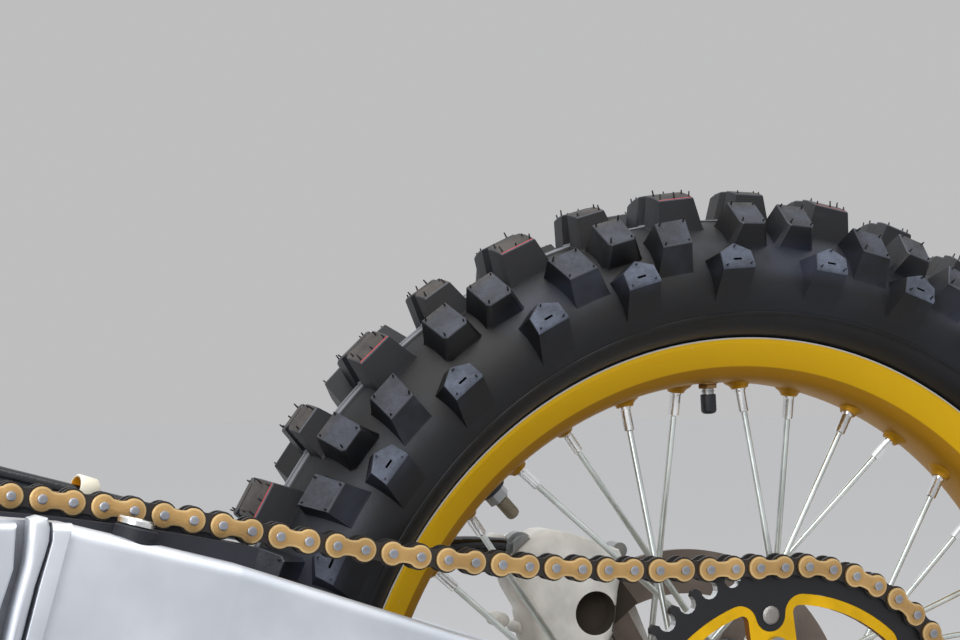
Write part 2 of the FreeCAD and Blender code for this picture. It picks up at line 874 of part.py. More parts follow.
def yoke():
    """Front casting: two cheeks with the pivot eyes and the cross member."""
    outline = [(cross_front, cross_bottom + 8), (cross_front + 8, cross_bottom)]
    outline += [(seam, cross_bottom), (seam, cross_top), (cross_front + 6, cross_top)]
    outline += [(cross_front, cross_top - 8)]
    cross = prism_y(outline, -seam_inner + 1, seam_inner - 1)
    ears = []
    for y in (-24, 14):
        ear = prism_y([(cross_front + 4, -52), (seam - 4, -52), (seam, -30), (cross_front, -30)],
                      y, y + 10)
        ear = ear.fuse(cylinder_y(seam - 17, -54, y, y + 10, 13))
        ears.append(ear.cut(cylinder_y(seam - 17, -54, y, y + 10, link_bore_radius)))
    left = cheek()
    shape = left.multiFuse([mirror_y(left), cross] + ears)
    return shape.cut(cylinder_y(0, 0, -pivot_outer, pivot_outer, collar_radius))


def pivot_collars():
    low = pivot_inner - collar_proud
    high = pivot_outer + collar_proud
    left = ring_y(0, 0, -high, -low, collar_radius, pivot_bolt_radius)
    return Part.makeCompound([left, mirror_y(left)])


def leg():
    """Left leg, straight tapering beam from the seam to the axle end."""
    side = leg_top_line + [(end_start, -end_height), (400, -34), (250, -44), (seam, seam_bottom)]
    plan = [(seam, -seam_outer), (leg_full - 10, -leg_outer), (end_start, -end_outer)]
    plan += [(end_start, -end_inner), (leg_full, -end_inner), (seam, -seam_inner)]
    shape = prism_y(side, -beyond, 0).common(prism_z(plan, -beyond, beyond))
    for above in (1, -1):
        shape = shape.makeFillet(leg_round, long_edges(shape, above))
    return shape


def long_edges(shape, above):
    """Edges along the arm's top, or its bottom, that run from front to back."""
    edges = []
    for edge in shape.Edges:
        ends = [vertex.Point for vertex in edge.Vertexes]
        if len(ends) == 2 and abs(ends[0].x - ends[1].x) > 20:
            if min(ends[0].z * above, ends[1].z * above) > 20:
                edges.append(edge)
    return edges


def left_leg():
    shape = leg()
    scallop = Part.makeCylinder(12, 20, Vector(slider_screw_place, -slider_screw_line, 40.5))
    hole = Part.makeCylinder(3, 20, Vector(slider_screw_place, -slider_screw_line, 28))
    shape = shape.cut(scallop).cut(hole).cut(chain_space())
    tabs = []
    for u in guide_bolt_places:
        outline = [(u - 9, -20), (u - 9, -guide_drop), (u + 9, -guide_drop), (u + 9, -20)]
        tabs.append(prism_y(outline, -guide_outer - 12, -guide_outer - 5))
        tabs.append(cylinder_y(u, -guide_drop, -guide_outer - 12, -guide_outer - 5, 9))
    shape = shape.multiFuse(tabs)
    for u in guide_bolt_places:
        shape = shape.cut(cylinder_y(u, -guide_drop, -guide_outer - 12, -guide_outer - 5, 3))
    return shape


def axle_end():
    """Left axle end, with the slot, the block's recess and the adjuster's hole."""
    rear = pivot_to_axle + end_reach
    side = [(end_start, end_height), (rear - 18, end_height - 3), (rear, 14)]
    side += [(rear, -14), (rear - 18, -end_height + 3), (end_start, -end_height)]
    shape = prism_y(side, -end_outer, -end_inner)
    front = pivot_to_axle - recess_front
    back = pivot_to_axle + recess_rear
    half = block_height / 2 + 0.2
    recess = [(front, -half), (back, -half), (back, half), (front, half)]
    shape = shape.cut(prism_y(recess, -end_outer, -end_outer + block_depth))
    half = axle_radius + 0.2
    front = pivot_to_axle - slot_front
    back = pivot_to_axle + slot_rear
    slot = [(front, -half), (back, -half), (back, half), (front, half)]
    shape = shape.cut(prism_y(slot, -end_outer, -end_inner))
    hole = Part.makeCylinder(adjuster_radius, 60, Vector(pivot_to_axle + 20, adjuster_line, 0),
                             Vector(1, 0, 0))
    return shape.cut(hole)


def axle_block():
    low = -end_outer - block_proud
    high = -end_outer + block_depth
    half = block_length / 2
    tall = block_height / 2
    outline = [(-half, -tall), (half, -tall), (half, tall), (-half, tall)]
    block = prism_y(outline, low, high).cut(cylinder_y(0, 0, low, high, axle_radius))
    block.translate(Vector(pivot_to_axle, 0, 0))
    return block


def adjuster():
    start = pivot_to_axle + block_length / 2
    rear = pivot_to_axle + end_reach
    way = Vector(1, 0, 0)
    bolt = Part.makeCylinder(adjuster_radius, rear + 14 - start, Vector(start, adjuster_line, 0), way)
    nut = Part.makeCylinder(7, 6, Vector(rear, adjuster_line, 0), way)
    head = Part.makeCylinder(6.5, 6, Vector(rear + 10, adjuster_line, 0), way)
    return bolt.multiFuse([nut, head])


# Slider and guide

def under_chain(u):
    """Top of the slider in arm coordinates, just under the upper run's plates."""
    x, z = u * droop_cos, -u * droop_sin
    for _ in range(20):
        height = wheel_z + upper_run_height(x - wheel_x) - plate_height / 2 - seat_gap
        place, above = arm_place(x, height)
        x += (u - place) * droop_cos
    return above


def chain_slider():
    wrap = boss_radius + slider_wall
    start = tangent(boss_radius, seam, seam_top, True)
    top = [(-4, under_chain(-4))]
    for u in (40, seam, 165, 200, slider_end):
        top.append((u, under_chain(u)))
    bottom = [(slider_end, leg_top(slider_end)), (225, leg_top(225)), (seam, seam_top), start]
    body = prism_y(top + bottom, -slider_outer, -slider_inner)
    front = ring_y(0, 0, -slider_outer, -slider_inner, wrap, boss_radius)
    keep = [(start[0], 60), (start[0], boss_radius - 10), (0, 0), (4, -60), (-60, -60), (-60, 60)]
    front = front.common(prism_y(keep, -slider_outer, -slider_inner))
    shape = body.fuse(front).cut(chain_space()).cut(cheek()).cut(leg())
    tab_top = leg_top(slider_screw_place) + 1
    tab = Part.makeCylinder(11, tab_top - 40.5, Vector(slider_screw_place, -slider_screw_line, 40.5))
    shape = shape.fuse(tab)
    return shape.cut(Part.makeCylinder(3, 30, Vector(slider_screw_place, -slider_screw_line, 30)))


def chain_space():
    """Room for the upper run above the slider."""
    x_low, x_high = -60.0, 300.0
    points = []
    x = x_low
    while x < x_high:
        z = wheel_z + upper_run_height(x - wheel_x) - plate_height / 2 - seat_gap
        points.append(arm_place(x, z))
        x += 30
    points += [(points[-1][0], points[-1][1] + 60), (points[0][0], points[0][1] + 60)]
    return prism_y(points, -slider_outer - 1, -slider_inner + 1)


def leg_top(u):
    for (u0, v0), (u1, v1) in zip(leg_top_line, leg_top_line[1:]):
        if u <= u1:
            return v0 + (v1 - v0) * (u - u0) / (u1 - u0)
    return end_height


def slider_screw():
    seat = leg_top(slider_screw_place) + 1
    place = Vector(slider_screw_place, -slider_screw_line, seat)
    head = Part.makeCylinder(9, 6, place)
    shank = Part.makeCylinder(3, seat - 28, Vector(slider_screw_place, -slider_screw_line, 28))
    return head.fuse(shank)


def guide_frame():
    """Middle of the guide on the lower run and the run's angle there."""
    target = wheel_x - guide_ahead
    best = None
    for k, (x, z) in enumerate(chain_places):
        following = chain_places[(k + 1) % len(chain_places)]
        if following[0] > x and x <= target < following[0]:
            share = (target - x) / (following[0] - x)
            height = z + (following[1] - z) * share
            best = (target, height, math.degrees(math.atan2(following[1] - z, following[0] - x)))
    return best


def chain_guide():
    x, z, angle = guide_frame()
    half = guide_length / 2
    tall = guide_height / 2
    outline = [(-half, -tall + 6), (-half + 6, -tall), (half - 6, -tall), (half, -tall + 6)]
    outline += [(half, tall - 6), (half - 6, tall), (-half + 6, tall), (-half, tall - 6)]
    block = prism_y(outline, -guide_outer, -guide_inner)
    slot = guide_slot_height / 2
    opening = [(-half, -slot), (half, -slot), (half, slot), (-half, slot)]
    block = block.cut(prism_y(opening, -chain_line - pin_reach - 2, -chain_line + pin_reach + 2))
    for step in (-18, 18):
        block = block.cut(cylinder_y(step, tall - 5, -guide_outer, -guide_inner, 2.5))
    block = turned(block, angle)
    block.translate(Vector(x, 0, z))
    return block


def guide_bracket():
    """Plate from the leg's tabs down to the outer side of the guide."""
    x, z, angle = guide_frame()
    low, high = -guide_outer - 5, -guide_outer
    lugs = []
    for u in guide_bolt_places:
        lugs.append((u * droop_cos - guide_drop * droop_sin, -u * droop_sin - guide_drop * droop_cos))
    tall = guide_height / 2 - 5
    feet = []
    for step in (-18, 18):
        turn = math.radians(angle)
        feet.append((x + step * math.cos(turn) - tall * math.sin(turn),
                     z + step * math.sin(turn) + tall * math.cos(turn)))
    outline = [(lugs[0][0] - 10, lugs[0][1]), (lugs[0][0] - 4, lugs[0][1] + 8)]
    outline += [(lugs[1][0] + 2, lugs[1][1] + 8), (lugs[1][0] + 10, lugs[1][1])]
    outline += [(feet[1][0] + 8, feet[1][1]), (feet[1][0], feet[1][1] - 8)]
    outline += [(feet[0][0], feet[0][1] - 8), (feet[0][0] - 8, feet[0][1])]
    plate = prism_y(outline, low, high)
    for px, pz in lugs:
        plate = plate.cut(cylinder_y(px, pz, low, high, 3))
    for px, pz in feet:
        plate = plate.cut(cylinder_y(px, pz, low, high, 2.5))
    return plate, lugs, feet


def guide_bolts():
    plate, lugs, feet = guide_bracket()
    bolts = []
    for px, pz in lugs:
        bolt = cylinder_y(px, pz, -guide_outer - 12, -guide_outer, 3)
        bolts.append(bolt.fuse(cylinder_y(px, pz, -guide_outer - 16, -guide_outer - 12, 5.5)))
    for px, pz in feet:
        bolt = cylinder_y(px, pz, -guide_outer - 5, -guide_inner, 2.5)
        bolts.append(bolt.fuse(cylinder_y(px, pz, -guide_outer - 9, -guide_outer - 5, 5)))
    return Part.makeCompound(bolts)


# Brake

def in_caliper(shape):
    """Caliper pieces are drawn with the radius through them upright."""
    return turned(shape, caliper_angle - 90)


def caliper():
    outline = [(-38, -28), (-30, -36), (34, -36), (48, -22), (50, -8), (34, 20), (24, 34)]
    outline += [(6, 36), (-14, 26), (-34, 8), (-40, -10)]
    outline = [(x, disc_radius + up) for x, up in outline]
    body = prism_y(outline, caliper_inner, caliper_outer)
    middle = disc_face + disc_thickness / 2
    slot = cylinder_y(0, 0, middle - caliper_slot / 2, middle + caliper_slot / 2, disc_radius + 6)
    housing = cylinder_y(0, piston_place, caliper_inner - 4, caliper_inner, 19)
    mouth = cylinder_y(0, piston_place, caliper_inner - 4, caliper_inner + 5, piston_radius)
    across, up = banjo_across, banjo_up
    banjo = cylinder_y(across, up, banjo_face, caliper_outer, 9)
    root = disc_radius + 20
    neck = prism_y([(across - 9, up), (across - 9, root), (across + 9, root), (across + 9, up)],
                   banjo_face, caliper_outer)
    shape = body.multiFuse([housing, banjo, neck]).cut(slot).cut(mouth)
    for place in caliper_pin_places:
        shape = shape.cut(cylinder_y(place[0], place[1], banjo_face, caliper_outer, 5))
    return shape.cut(cylinder_y(across, up, banjo_face, caliper_outer, 4))


def caliper_pins():
    pins = []
    high = end_inner - bracket_thickness
    for x, z in caliper_pin_places:
        pins.append(cylinder_y(x, z, disc_face + disc_thickness / 2 + caliper_slot / 2, high, 5))
    return Part.makeCompound(pins)


def brake_pads():
    low = disc_face - pad_clearance
    high = disc_face + disc_thickness + pad_clearance
    middle = disc_face + disc_thickness / 2
    low_edge, high_edge = disc_radius - 30, disc_radius - 1
    outline = [(-28, low_edge), (28, low_edge), (28, high_edge - 3), (20, high_edge)]
    outline += [(-20, high_edge), (-28, high_edge - 3)]
    inner = prism_y(outline, middle - caliper_slot / 2, low)
    outer = prism_y(outline, high, middle + caliper_slot / 2)
    return Part.makeCompound([inner, outer])


def caliper_bracket():
    low = end_inner - bracket_thickness
    eye = cylinder_y(0, 0, low, end_inner, 22)
    shoulder, top = disc_radius - 8, disc_radius + 8
    outline = [(-16, 12), (16, 12), (44, shoulder), (40, top), (-30, top), (-38, shoulder)]
    plate = prism_y(outline, low, end_inner)
    shape = in_caliper(eye.fuse(plate))
    return shape.cut(cylinder_y(0, 0, low, end_inner, axle_radius))


def banjo_fitting():
    low = banjo_face - banjo_height
    eye = cylinder_y(banjo_across, banjo_up, low, banjo_face, 9)
    head = cylinder_y(banjo_across, banjo_up, low - 6, low, 7)
    shank = cylinder_y(banjo_across, banjo_up, low, banjo_face + 14, 4)
    return eye.multiFuse([head, shank])


def hose_tube(points, radius):
    """Straight runs joined by tangent arcs; returns the tube and its radii."""
    corners = [Vector(*p) for p in points]
    edges = []
    radii = []
    start = corners[0]
    for before, corner, after in zip(corners, corners[1:], corners[2:]):
        back = before - corner
        ahead = after - corner
        shorter = min(back.Length, ahead.Length)
        back.normalize()
        ahead.normalize()
        turn = math.pi - back.getAngle(ahead)
        reach = 0.45 * shorter
        radii.append(reach / math.tan(turn / 2))
        enter = corner + back * reach
        leave = corner + ahead * reach
        inward = back + ahead
        inward.normalize()
        half = turn / 2
        sag = radii[-1] / math.cos(half) - radii[-1]
        edges.append(Part.LineSegment(start, enter).toShape())
        edges.append(Part.Arc(enter, corner + inward * sag, leave).toShape())
        start = leave
    edges.append(Part.LineSegment(start, corners[-1]).toShape())
    path = Part.Wire(edges)
    way = corners[1] - corners[0]
    ring = Part.Wire(Part.Circle(corners[0], way, radius).toShape())
    tube = path.makePipeShell([ring], True, False)
    return tube, radii, path.Length


def hose_points():
    """Route of the hose in arm coordinates, from the caliper to the pivot."""
    radial = polar(1, caliper_angle)
    across = (radial[1], -radial[0])
    x = wheel_x + banjo_up * radial[0] + banjo_across * across[0] - 9.5
    z = wheel_z + banjo_up * radial[1] + banjo_across * across[1]
    u, v = arm_place(x, z)
    y = banjo_face - banjo_height / 2
    return [(u, y, v), (u - 26, y + 2, v - 5), (u - 62, 80, v - 18), (332, 98.5, 62),
            (262, 103.5, 57.6), (186, 104.6, 57.2), (100, 103.4, 57), (25, 99, 61)]


def brake_hose():
    tube, radii, length = hose_tube(hose_points(), hose_radius)
    print("hose radii", [round(r) for r in radii], "length", round(length))
    return tube


def hose_clips():
    """Hooks over the middle of two of the hose's straight runs, footed on the leg."""
    points = [Vector(*p) for p in hose_points()]
    clips = []
    for first in (3, 5):
        start, finish = points[first], points[first + 1]
        way = finish - start
        way.normalize()
        middle = (start + finish) * 0.5
        low = middle - way * clip_length / 2
        ring = Part.makeCylinder(hose_radius + clip_wall, clip_length, low, way)
        room = Part.makeCylinder(hose_radius + seat_gap, clip_length, low, way)
        foot = Part.makeBox(clip_length - 3, 8, middle.z - clip_foot,
                            Vector(middle.x - (clip_length - 3) / 2, middle.y - 4, clip_foot))
        clip = ring.fuse(foot).cut(room)
        clips.append(clip.cut(mirror_y(leg())).cut(mirror_y(cheek())))
    return Part.makeCompound(clips)


chain_places, front_pin_angle = chain_pins()
sprocket_left = -chain_line - tooth_width / 2
sprocket_right = -chain_line + tooth_width / 2
adjuster_line = -end_outer + block_depth / 2
guide_outer = chain_line + pin_reach + 8.5
guide_inner = chain_line - pin_reach - 7.0
guide_bolt_places = (410.0, 455.0)
leg_top_line = [(seam, seam_top), (leg_full - 10, leg_high), (345, leg_high - 7.2)]
leg_top_line.append((end_start, end_height))
caliper_pin_places = ((-33, disc_radius - pin_drop), (44, disc_radius - pin_drop))
rivet_places = round_places(rivet_count, rivet_radius, first_rivet_angle)
hub_bolt_places = round_places(hub_bolt_count, hub_bolt_radius, first_rivet_angle)
disc_bolt_places = round_places(disc_bolt_count, disc_bolt_radius)

os.makedirs("parts", exist_ok=True)
wheel_pieces = {
    "tyre": tyre(),
    "rim": rim(),
    "spokes_left": spokes(-1),
    "spokes_right": spokes(1),
    "spoke_nipples": nipples(),
    "valve_stem": valve_stem(),
    "rim_lock": rim_lock(),
    "hub": hub(),
    "hub_bearings": hub_bearings(),
    "sprocket_ring": sprocket_ring(),
    "sprocket_carrier": sprocket_carrier(),
    "sprocket_rivets": sprocket_rivets(),
    "sprocket_bolts": sprocket_bolts(),
    "brake_disc": brake_disc(),
    "disc_bolts": disc_bolts(),
    "axle": axle(),
    "axle_nut": axle_nut(),
    "axle_washer": axle_washer(),
    "left_spacer": left_spacer(),
    "right_spacer": right_spacer(),
    "caliper": in_caliper(caliper()),
    "caliper_pins": in_caliper(caliper_pins()),
    "brake_pads": in_caliper(brake_pads()),
    "caliper_bracket": caliper_bracket(),
    "banjo_fitting": in_caliper(banjo_fitting()),
}
left_end = axle_end()
block = axle_block()
bolt = adjuster()
arm_pieces = {
    "yoke": yoke(),
    "left_leg": left_leg(),
    "right_leg": mirror_y(leg()),
    "left_axle_end": left_end,
    "right_axle_end": mirror_y(left_end),
    "left_axle_block": block,
    "right_axle_block": mirror_y(block),
    "left_adjuster": bolt,
    "right_adjuster": mirror_y(bolt),
    "pivot_collars": pivot_collars(),
    "chain_slider": chain_slider(),
    "slider_screw": slider_screw(),
    "brake_hose": brake_hose(),
    "hose_clips": hose_clips(),
}
bracket_plate, lugs, feet = guide_bracket()
frame_pieces = {
    "chain": chain(),
    "front_sprocket": front_sprocket(),
    "chain_guide": chain_guide(),
    "guide_bracket": bracket_plate,
    "guide_bolts": guide_bolts(),
}
for name, shape in wheel_pieces.items():
    save(name, at_wheel(shape))
for name, shape in arm_pieces.items():
    save(name, on_arm(shape))
for name, shape in frame_pieces.items():
    save(name, shape)
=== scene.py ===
import bpy
import bmesh
import json
import math
import random
from mathutils import Matrix, Vector


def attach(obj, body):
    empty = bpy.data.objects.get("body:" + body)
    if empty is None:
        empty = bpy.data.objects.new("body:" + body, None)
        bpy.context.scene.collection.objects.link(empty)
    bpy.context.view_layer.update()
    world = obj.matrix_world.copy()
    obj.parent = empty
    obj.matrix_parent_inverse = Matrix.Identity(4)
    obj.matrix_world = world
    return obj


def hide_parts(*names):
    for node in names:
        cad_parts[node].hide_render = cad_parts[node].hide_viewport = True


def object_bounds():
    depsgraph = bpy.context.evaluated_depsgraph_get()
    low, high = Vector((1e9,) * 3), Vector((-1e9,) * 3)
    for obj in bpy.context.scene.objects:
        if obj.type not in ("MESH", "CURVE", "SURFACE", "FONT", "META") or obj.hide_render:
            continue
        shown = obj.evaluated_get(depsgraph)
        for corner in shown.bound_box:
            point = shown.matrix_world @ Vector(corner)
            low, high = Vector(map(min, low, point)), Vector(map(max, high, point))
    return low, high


# Rear wheel, chain drive and swingarm of a motocross bike, dressed for a close view.
# X points to the rear, Y to the bike's right side and Z up, in metres.

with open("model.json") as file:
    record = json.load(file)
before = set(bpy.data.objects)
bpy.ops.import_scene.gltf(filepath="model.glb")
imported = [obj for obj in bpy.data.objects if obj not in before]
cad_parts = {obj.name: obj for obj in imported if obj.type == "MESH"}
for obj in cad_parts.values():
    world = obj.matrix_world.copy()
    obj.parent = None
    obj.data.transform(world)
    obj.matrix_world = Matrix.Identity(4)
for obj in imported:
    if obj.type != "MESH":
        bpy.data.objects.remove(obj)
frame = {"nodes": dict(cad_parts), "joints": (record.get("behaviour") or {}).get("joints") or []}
cadLow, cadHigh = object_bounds()
nodes = frame["nodes"]
joints = {joint["name"]: joint for joint in frame["joints"]}
mm = 0.001
wheelCentre = Vector(joints["wheel_spin"]["pos_m"])
shaftCentre = Vector(joints["front_sprocket_spin"]["pos_m"])
armDroop = math.atan2(-wheelCentre.z, wheelCentre.x)
random.seed(11)


# Shader maths: a socket that Python's operators work on, each adding its own node

class Wire:
    def __init__(self, finish, socket):
        self.finish = finish
        self.socket = socket

    def math(self, operation, first, second=None):
        inputs = {0: first}
        if second is not None:
            inputs[1] = second
        return self.finish.node("ShaderNodeMath", {"operation": operation}, inputs)

    def __add__(self, other):
        return self.math("ADD", self, other)

    def __sub__(self, other):
        return self.math("SUBTRACT", self, other)

    def __mul__(self, other):
        return self.math("MULTIPLY", self, other)

    def __truediv__(self, other):
        return self.math("DIVIDE", self, other)

    def __pow__(self, other):
        return self.math("POWER", self, other)

    __radd__ = __add__

    def atMost(self, other):
        return self.math("MINIMUM", self, other)

    def size(self):
        return self.math("ABSOLUTE", self)

    # 0 below low, 1 above high, smooth between; low may be the larger
    def ramp(self, low, high):
        settings = {"interpolation_type": "SMOOTHSTEP"}
        inputs = {"Value": self, "From Min": min(low, high), "From Max": max(low, high),
                  "To Min": 0.0 if low < high else 1.0, "To Max": 1.0 if low < high else 0.0}
        return self.finish.node("ShaderNodeMapRange", settings, inputs)


class Finish:
    def __init__(self, name, **fixed):
        self.material = bpy.data.materials.new(name)
        self.material.use_nodes = True
        self.tree = self.material.node_tree
        self.shader = self.tree.nodes["Principled BSDF"]
        self.set(**fixed)

    # Any node: its type, its settings, then the values or links of its sockets
    def node(self, kind, settings=None, inputs=None, output=0):
        made = self.tree.nodes.new(kind)
        for key, value in (settings or {}).items():
            setattr(made, key, value)
        for key, value in (inputs or {}).items():
            self.join(made.inputs[key], value)
        return Wire(self, made.outputs[output])

    def join(self, socket, value):
        if isinstance(value, Wire):
            self.tree.links.new(value.socket, socket)
        elif socket.type == "RGBA" and len(value) == 3:
            socket.default_value = (*value, 1)
        else:
            socket.default_value = value

    def set(self, **sockets):
        for key, value in sockets.items():
            self.join(self.shader.inputs[key.replace("_", " ")], value)

    def place(self):
        return self.node("ShaderNodeTexCoord", output="Object")

    # Distance from the axle, in metres, and reach to the side, in millimetres
    def aboutAxle(self):
        moved = self.node("ShaderNodeVectorMath", {"operation": "SUBTRACT"},
                          {0: self.place(), 1: tuple(wheelCentre)})
        parts = self.parts(moved)
        return (parts[0] * parts[0] + parts[2] * parts[2]) ** 0.5, parts[1] / mm

    def parts(self, vector):
        made = self.tree.nodes.new("ShaderNodeSeparateXYZ")
        self.tree.links.new(vector.socket, made.inputs[0])
        return [Wire(self, output) for output in made.outputs]

    def stretched(self, scale):
        return self.node("ShaderNodeMapping", {}, {"Vector": self.place(), "Scale": scale})

    def noise(self, scale, detail=3.0, roughness=0.55, place=None):
        return self.node("ShaderNodeTexNoise", {}, {"Vector": place or self.place(), "Scale": scale,
                                                    "Detail": detail, "Roughness": roughness})

    def mix(self, factor, first, second):
        made = self.tree.nodes.new("ShaderNodeMix")
        made.data_type = "RGBA"
        for index, value in ((0, factor), (6, first), (7, second)):
            self.join(made.inputs[index], value)
        return Wire(self, made.outputs[2])

    def bump(self, height, distance, strength=1.0):
        inputs = {"Height": height, "Distance": distance, "Strength": strength}
        self.set(Normal=self.node("ShaderNodeBump", {}, inputs))


# A colour as it is written on screen, made linear
def colour(*written):
    shares = [value / 255 for value in written]
    return tuple(share / 12.92 if share <= 0.04045 else ((share + 0.055) / 1.055) ** 2.4
                 for share in shares)


# Finishes

# Where a finish changes, from none to full: distances from the axle in metres, reach to the side
# in millimetres, and on the cast arm the way along it and out to the left
zones = {
    "wallFoot": (0.286, 0.296),
    "wallTop": (0.318, 0.308),
    "ribSide": (5.6, 5.2),
    "ribFoot": (0.3254, 0.3257),
    "ribTop": (0.3268, 0.3266),
    "ribSeam": (0.9, 0.7),
    "shoulderLugs": (0.307, 0.312),
    "middleLugs": (0.33, 0.337),
    "redLine": (0.6, 0.4),
    "redLineAside": 21.8,
    "redLineFoot": (0.3365, 0.337),
    "stripeInner": (30.0, 30.6),
    "stripeOuter": (36.0, 35.4),
    "stripeFoot": (0.326, 0.3265),
    "rimEdge": (0.2528, 0.2536),
    "rimUnderShade": (0.2372, 0.2362),
    "dirtAndShadeFront": (104.0, 108.0),
    "dirtAndShadeRear": (137.0, 134.0),
    "dirtAndShadeOut": (-0.115, -0.118),
    "dirtAndShadeSlope": 0.24,
}


# Moulded rubber: a painted bluish sky reflection on the side walls, fine grain, a few paler
# scuffs, a painted sky reflection on the pale rib down the middle, and the thin coloured lines
# that the mould leaves along some lugs
def tyreRubber():
    finish = Finish("tyreRubber", Specular_IOR_Level=0.34)
    radius, aside = finish.aboutAxle()
    cloud = finish.noise(14.0, 4.0)
    grain = finish.noise(420.0, 3.0, 0.6)
    streak = finish.noise(60.0, 5.0, 0.7)
    dark = finish.mix(cloud.ramp(0.35, 0.7), colour(8, 8, 10), colour(18, 20, 26))
    wall = radius.ramp(*zones["wallFoot"]) * radius.ramp(*zones["wallTop"])
    # painted sky reflection: the walls' base colour turns bluish grey in patches
    sheen = wall * cloud.ramp(0.4, 0.62)
    dark = finish.mix(sheen * 0.8, dark, colour(44, 48, 60))
    scuffed = finish.mix(streak.ramp(0.6, 0.85) * 0.25, dark, colour(72, 70, 72))
    aside = aside.size()
    rib = aside.ramp(*zones["ribSide"]) * radius.ramp(*zones["ribFoot"])
    rib = rib * radius.ramp(*zones["ribTop"])
    # painted sky reflection: the rib's top is painted a pale grey
    ribSheen = finish.mix(rib, scuffed, colour(112, 114, 120))
    seam = rib * aside.ramp(*zones["ribSeam"])
    finish.set(Base_Color=finish.mix(seam, ribSheen, colour(6, 6, 8)),
               Roughness=0.34 + cloud * 0.2 + grain * 0.1)
    finish.bump(grain * 0.4 + streak, 0.0003, 0.5)
    return finish.material


# Lug tops, lighter than the rubber: the middle lugs' brownish tone is dust; the side and shoulder
# lugs' bluish grey is a painted sky reflection over some dust
def lugTop():
    finish = Finish("lugTop")
    radius, aside = finish.aboutAxle()
    cloud = finish.noise(45.0, 5.0, 0.7)
    fine = finish.noise(600.0, 3.0, 0.7)
    side = finish.mix(cloud.ramp(0.3, 0.75), colour(52, 57, 68), colour(92, 99, 116))
    shoulder = finish.mix(cloud.ramp(0.3, 0.75), colour(27, 30, 37), colour(60, 64, 75))
    dusty = finish.mix(cloud.ramp(0.3, 0.75), colour(32, 30, 29), colour(70, 64, 59))
    base = finish.mix(radius.ramp(*zones["shoulderLugs"]), side, shoulder)
    base = finish.mix(radius.ramp(*zones["middleLugs"]), base, dusty)
    line = (aside + zones["redLineAside"]).size().ramp(*zones["redLine"])
    line = line * radius.ramp(*zones["redLineFoot"])
    stripe = aside.ramp(*zones["stripeInner"]) * aside.ramp(*zones["stripeOuter"])
    stripe = stripe * radius.ramp(*zones["stripeFoot"])
    lined = finish.mix(line, base, colour(176, 44, 54))
    finish.set(Base_Color=finish.mix(stripe, lined, colour(150, 150, 20)),
               Roughness=0.5 + fine * 0.3)
    finish.bump(fine, 0.0006, 0.7)
    return finish.material


def rimGold():
    finish = Finish("rimGold", Metallic=0.45)
    radius = finish.aboutAxle()[0]
    grain = finish.noise(500.0, 3.0)
    cloud = finish.noise(18.0, 4.0)
    scuff = finish.noise(140.0, 4.0, 0.7).ramp(0.62, 0.75)
    edge = radius.ramp(*zones["rimEdge"])
    # painted shade: the rim's underside is a darker amber
    underShade = radius.ramp(*zones["rimUnderShade"])
    gold = finish.mix(cloud, colour(234, 184, 0), colour(244, 196, 0))
    gold = finish.mix(underShade, gold, colour(178, 128, 2))
    worn = finish.mix((edge + scuff * 0.12).atMost(1.0), gold, colour(215, 215, 214))
    finish.set(Base_Color=worn, Roughness=0.42 + grain * 0.12 - edge * 0.1)
    finish.bump(grain, 0.0002, 0.25)
    return finish.material


def plainMetal(name, tint, roughness, metallic=1.0, grain=400.0, spread=0.12, depth=0.0002):
    finish = Finish(name, Metallic=metallic)
    fine = finish.noise(grain, 4.0)
    cloud = finish.noise(35.0, 3.0)
    darker = tuple(c * 0.72 for c in tint)
    finish.set(Base_Color=finish.mix(cloud.ramp(0.3, 0.7), darker, tint),
               Roughness=roughness - spread / 2 + fine * spread)
    finish.bump(fine, depth, 0.4)
    return finish.material


def plainPlastic(name, tint, roughness, grain=500.0, depth=0.0003):
    finish = Finish(name, Metallic=0.0)
    fine = finish.noise(grain, 3.0)
    cloud = finish.noise(22.0, 3.0)
    lighter = tuple(min(1, c * 1.5 + 0.004) for c in tint)
    finish.set(Base_Color=finish.mix(cloud.ramp(0.4, 0.8), tint, lighter),
               Roughness=roughness - 0.06 + cloud * 0.12)
    finish.bump(fine, depth, 0.5)
    return finish.material


def brushedArm():
    finish = Finish("armBrushed", Metallic=0.9)
    turned = finish.stretched((3, 60, 60))
    streak = finish.noise(90.0, 4.0, 0.6, place=turned)
    cloud = finish.noise(9.0, 4.0, 0.6)
    tint = finish.mix(cloud.ramp(0.3, 0.75), colour(200, 205, 213), colour(226, 229, 234))
    finish.set(Base_Color=tint, Roughness=0.34 + streak * 0.14 + cloud * 0.08)
    finish.bump(streak, 0.00015, 0.35)
    return finish.material


# Cast alloy, darker down in the seam ahead of the left leg: dirt and painted shade
def armCast():
    finish = Finish("armCast", Metallic=0.8)
    fine = finish.noise(240.0, 4.0)
    cloud = finish.noise(35.0, 3.0)
    parts = finish.parts(finish.place())
    along = (parts[0] - parts[2] * zones["dirtAndShadeSlope"]) / mm
    # dirt and painted shade down in the seam's groove
    dirtAndShade = along.ramp(*zones["dirtAndShadeFront"]) * along.ramp(*zones["dirtAndShadeRear"])
    dirtAndShade = dirtAndShade * parts[1].ramp(*zones["dirtAndShadeOut"])
    clean = finish.mix(cloud.ramp(0.3, 0.7), colour(184, 187, 193), colour(216, 219, 225))
    finish.set(Base_Color=finish.mix(dirtAndShade, clean, colour(62, 64, 70)), Roughness=0.42 + fine * 0.14)
    finish.bump(fine, 0.0004, 0.4)
    return finish.material


def paint(node, *materials):
    mesh = nodes[node].data
    mesh.materials.clear()
    for material in materials:
        mesh.materials.append(material)


